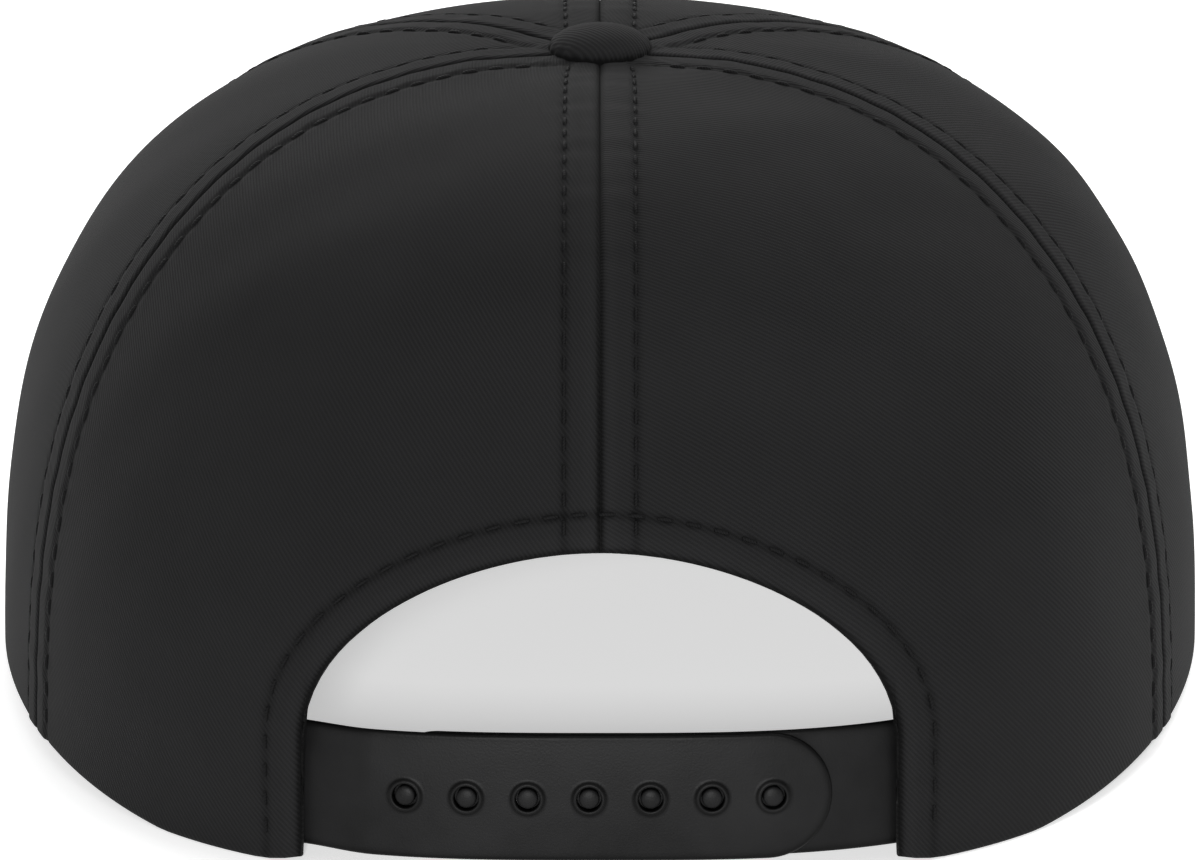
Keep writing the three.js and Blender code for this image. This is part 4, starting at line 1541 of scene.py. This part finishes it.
def make_inner_strap(trim, material):
    """The strap with the pegs, joined as one mesh."""
    spacing = SNAP_PITCH / INNER_CELLS
    x, z, from_outline = strap_grid(
        INNER_TIP, -ARCH_HALF_WIDTH - STRAP_TAB, spacing, trim.strap_edge
    )
    depth = np.full(x.shape, CLOTH_WALL + CLEARANCE)
    outer, inner = strap_points(x, z, from_outline, depth, trim.strap_edge)
    faces = shell_faces(*outer.shape[:2])
    pegs = np.stack([peg_points(place) for place in snap_places()])
    # Distance from the outline for painted shade there; no circles on this strap.
    edges = np.stack([from_outline, np.ones(from_outline.shape)], -1)
    edges = np.concatenate([both_faces(edges, edges), np.ones((pegs.size // 3, 2))])
    strap = both_faces(outer, inner)
    faces = faces + [group + len(strap) for group in tube_faces(*pegs.shape[:3])]
    points = np.concatenate([strap, pegs.reshape(-1, 3)])
    return new_piece(
        "strap_with_pegs", points, faces, {"edges": edges}, material,
        ["strap_inner"],
    )


# Stage.

FLOOR_HALF = 6.0
FLOOR_GRAIN = 400 * MM

# Place and size of each light, and the height that they aim at.
LIGHTS = {
    "key": ((0.15, 3.4, 0.97), 0.3),
    "top": ((-0.5, -0.5, 1.5), 1.3),
    "fill": ((0.7, -2.4, 1.1), 1.2),
}
LIGHT_AIM_HEIGHT = 30 * MM


def make_floor(stage):
    """A large square sheet of pale acrylic, lit a little from below."""
    corners = np.array([[-1, -1, 0], [1, -1, 0], [1, 1, 0], [-1, 1, 0]])
    mesh = new_mesh("floor", corners * FLOOR_HALF, [np.array([[0, 1, 2, 3]])], {})
    recipe = Recipe(
        "floor_sheet", 0.9, Specular_IOR_Level=0.1, Emission_Color=(1, 1, 1, 1),
        Emission_Strength=stage.floor_glow,
    )
    grain = recipe.noise(FLOOR_GRAIN, detail=2)
    recipe.shade(grain, tinted(stage.floor_colour, 0.985), stage.floor_colour)
    mesh.materials.append(recipe.material)
    floor = bpy.data.objects.new("floor", mesh)
    bpy.context.scene.collection.objects.link(floor)


def make_light(name, place, aim, size, power):
    """A square soft light that faces a point."""
    light = bpy.data.lights.new(name, "AREA")
    light.size = size
    light.energy = power
    lamp = bpy.data.objects.new(name, light)
    lamp.location = place
    lamp.rotation_euler = (Vector(aim) - Vector(place)).to_track_quat("-Z", "Y").to_euler()
    bpy.context.scene.collection.objects.link(lamp)


def make_camera():
    """The photograph's view: level with no turn, a long lens from far off."""
    data = bpy.data.cameras.new("view_from_behind")
    data.sensor_width = VIEW_SENSOR
    data.lens = VIEW_LENS
    distance = VIEW_WIDTH * VIEW_LENS / VIEW_SENSOR
    data.clip_end = 4 * distance
    aim = Vector((0, AXIS_Y, VIEW_AIM_HEIGHT))
    away = Vector((0, math.cos(VIEW_ELEVATION), math.sin(VIEW_ELEVATION)))
    camera = bpy.data.objects.new("view_from_behind", data)
    camera.location = aim + away * distance
    camera.rotation_euler = (-away).to_track_quat("-Z", "Y").to_euler()
    bpy.context.scene.collection.objects.link(camera)
    bpy.context.scene.camera = camera


def make_world(stage):
    """Even pale light from all sides."""
    world = bpy.data.worlds.new("studio")
    world.use_nodes = True
    background = world.node_tree.nodes["Background"]
    background.inputs[0].default_value = (1, 1, 1, 1)
    background.inputs[1].default_value = stage.ambient
    bpy.context.scene.world = world


class ROPECAP_OT_panels(bpy.types.Operator):
    """Sew the six cloth panels of the crown"""

    bl_idname = "rope_cap.panels"
    bl_label = "Crown panels"

    def execute(self, context):
        cloth = context.scene.cap_cloth
        stitches = context.scene.cap_stitches
        # The seam and arch maps give painted shade along the stitch lines and in the seams.
        line_maps = {"seam_stitching": stitches.from_seam, "arch_stitching": stitches.from_arch}
        material = twill("crown_twill", cloth, stitches, line_maps)
        for part in PANELS:
            for side in ("left", "right"):
                panel = make_panel(part, side, cloth, stitches, material)
                if part == "side":
                    cut_rope_hole(panel, side, context.scene.cap_trim)
        return {"FINISHED"}


class ROPECAP_OT_topstitching(bpy.types.Operator):
    """Stitch along the seams, round the opening and in rows on the peak"""

    bl_idname = "rope_cap.topstitching"
    bl_label = "Topstitching"

    def execute(self, context):
        stitches = context.scene.cap_stitches
        material = thread_material(stitches)
        panels = [f"{part}_{side}_cloth" for part in PANELS for side in ("left", "right")]
        missing = [name for name in [*panels, "peak_in_cloth"] if name not in bpy.data.objects]
        if missing:
            raise RuntimeError(f"Topstitching needs these pieces first: {', '.join(missing)}")
        for name, rows, on, slot in (
            ("seam_topstitching", seam_rows(stitches), panels, "crown_cloth"),
            ("arch_topstitching", arch_rows(stitches), panels, "crown_cloth"),
            ("peak_topstitching", peak_rows(stitches), ["peak_in_cloth"], "peak_cloth"),
        ):
            make_stitches(name, rows, on, stitches, material)
        return {"FINISHED"}


class ROPECAP_OT_button(bpy.types.Operator):
    """Cover the button on top of the crown"""

    bl_idname = "rope_cap.button"
    bl_label = "Covered button"

    def execute(self, context):
        # The rim map gives the button painted shade round its rim.
        line_maps = {"rim": BUTTON_LINE}
        stitches = context.scene.cap_stitches
        make_button(twill("button_twill", context.scene.cap_cloth, stitches, line_maps))
        return {"FINISHED"}


class ROPECAP_OT_peak(bpy.types.Operator):
    """Cover the board of the peak"""

    bl_idname = "rope_cap.peak"
    bl_label = "Peak"

    def execute(self, context):
        stitches = context.scene.cap_stitches
        # The stitching map gives the peak painted shade along its rows and at its free edge.
        line_maps = {"stitching": stitches.peak_spacing}
        make_peak(stitches, twill("peak_twill", context.scene.cap_cloth, stitches, line_maps))
        return {"FINISHED"}


class ROPECAP_OT_rope(bpy.types.Operator):
    """Lay the rope along the joint of crown and peak"""

    bl_idname = "rope_cap.rope"
    bl_label = "Rope"

    def execute(self, context):
        trim = context.scene.cap_trim
        make_rope(trim, rope_material(trim))
        return {"FINISHED"}


class ROPECAP_OT_straps(bpy.types.Operator):
    """Mould the two snap straps"""

    bl_idname = "rope_cap.straps"
    bl_label = "Snap straps"

    def execute(self, context):
        trim = context.scene.cap_trim
        material = plastic_material(trim)
        make_outer_strap(trim, material)
        make_inner_strap(trim, material)
        return {"FINISHED"}


class ROPECAP_OT_stage(bpy.types.Operator):
    """Set the floor, the light and the camera"""

    bl_idname = "rope_cap.stage"
    bl_label = "Stage"

    def execute(self, context):
        stage = context.scene.cap_stage
        make_camera()
        make_floor(stage)
        make_world(stage)
        aim = (0, AXIS_Y, LIGHT_AIM_HEIGHT)
        for name, (place, size) in LIGHTS.items():
            make_light(name, place, aim, size, getattr(stage, f"{name}_power"))
        context.scene.view_settings.view_transform = "Standard"
        return {"FINISHED"}


class ROPECAP_PT_sidebar(bpy.types.Panel):
    """The cap's settings and steps"""

    bl_label = "Rope cap"
    bl_idname = "ROPECAP_PT_sidebar"
    bl_space_type = "VIEW_3D"
    bl_region_type = "UI"
    bl_category = "Rope cap"

    def draw(self, context):
        for group in SETTINGS:
            settings = getattr(context.scene, group)
            for name in settings.__annotations__:
                self.layout.prop(settings, name)
        for step in STEPS:
            self.layout.operator(step.bl_idname)


SETTINGS = {
    "cap_cloth": CapClothSettings,
    "cap_stitches": CapStitchSettings,
    "cap_trim": CapTrimSettings,
    "cap_stage": CapStageSettings,
}

STEPS = (
    ROPECAP_OT_stage,
    ROPECAP_OT_panels,
    ROPECAP_OT_peak,
    ROPECAP_OT_topstitching,
    ROPECAP_OT_button,
    ROPECAP_OT_rope,
    ROPECAP_OT_straps,
)


def register():
    for group in SETTINGS.values():
        bpy.utils.register_class(group)
    for step in STEPS:
        bpy.utils.register_class(step)
    bpy.utils.register_class(ROPECAP_PT_sidebar)
    for name, group in SETTINGS.items():
        setattr(bpy.types.Scene, name, bpy.props.PointerProperty(type=group))


def unregister():
    for name in SETTINGS:
        delattr(bpy.types.Scene, name)
    bpy.utils.unregister_class(ROPECAP_PT_sidebar)
    for step in reversed(STEPS):
        bpy.utils.unregister_class(step)
    for group in reversed(SETTINGS.values()):
        bpy.utils.unregister_class(group)


def main():
    register()
    bpy.ops.rope_cap.stage()
    bpy.ops.rope_cap.panels()
    bpy.ops.rope_cap.peak()
    bpy.ops.rope_cap.topstitching()
    bpy.ops.rope_cap.button()
    bpy.ops.rope_cap.rope()
    bpy.ops.rope_cap.straps()


if __name__ == "__main__":
    main()
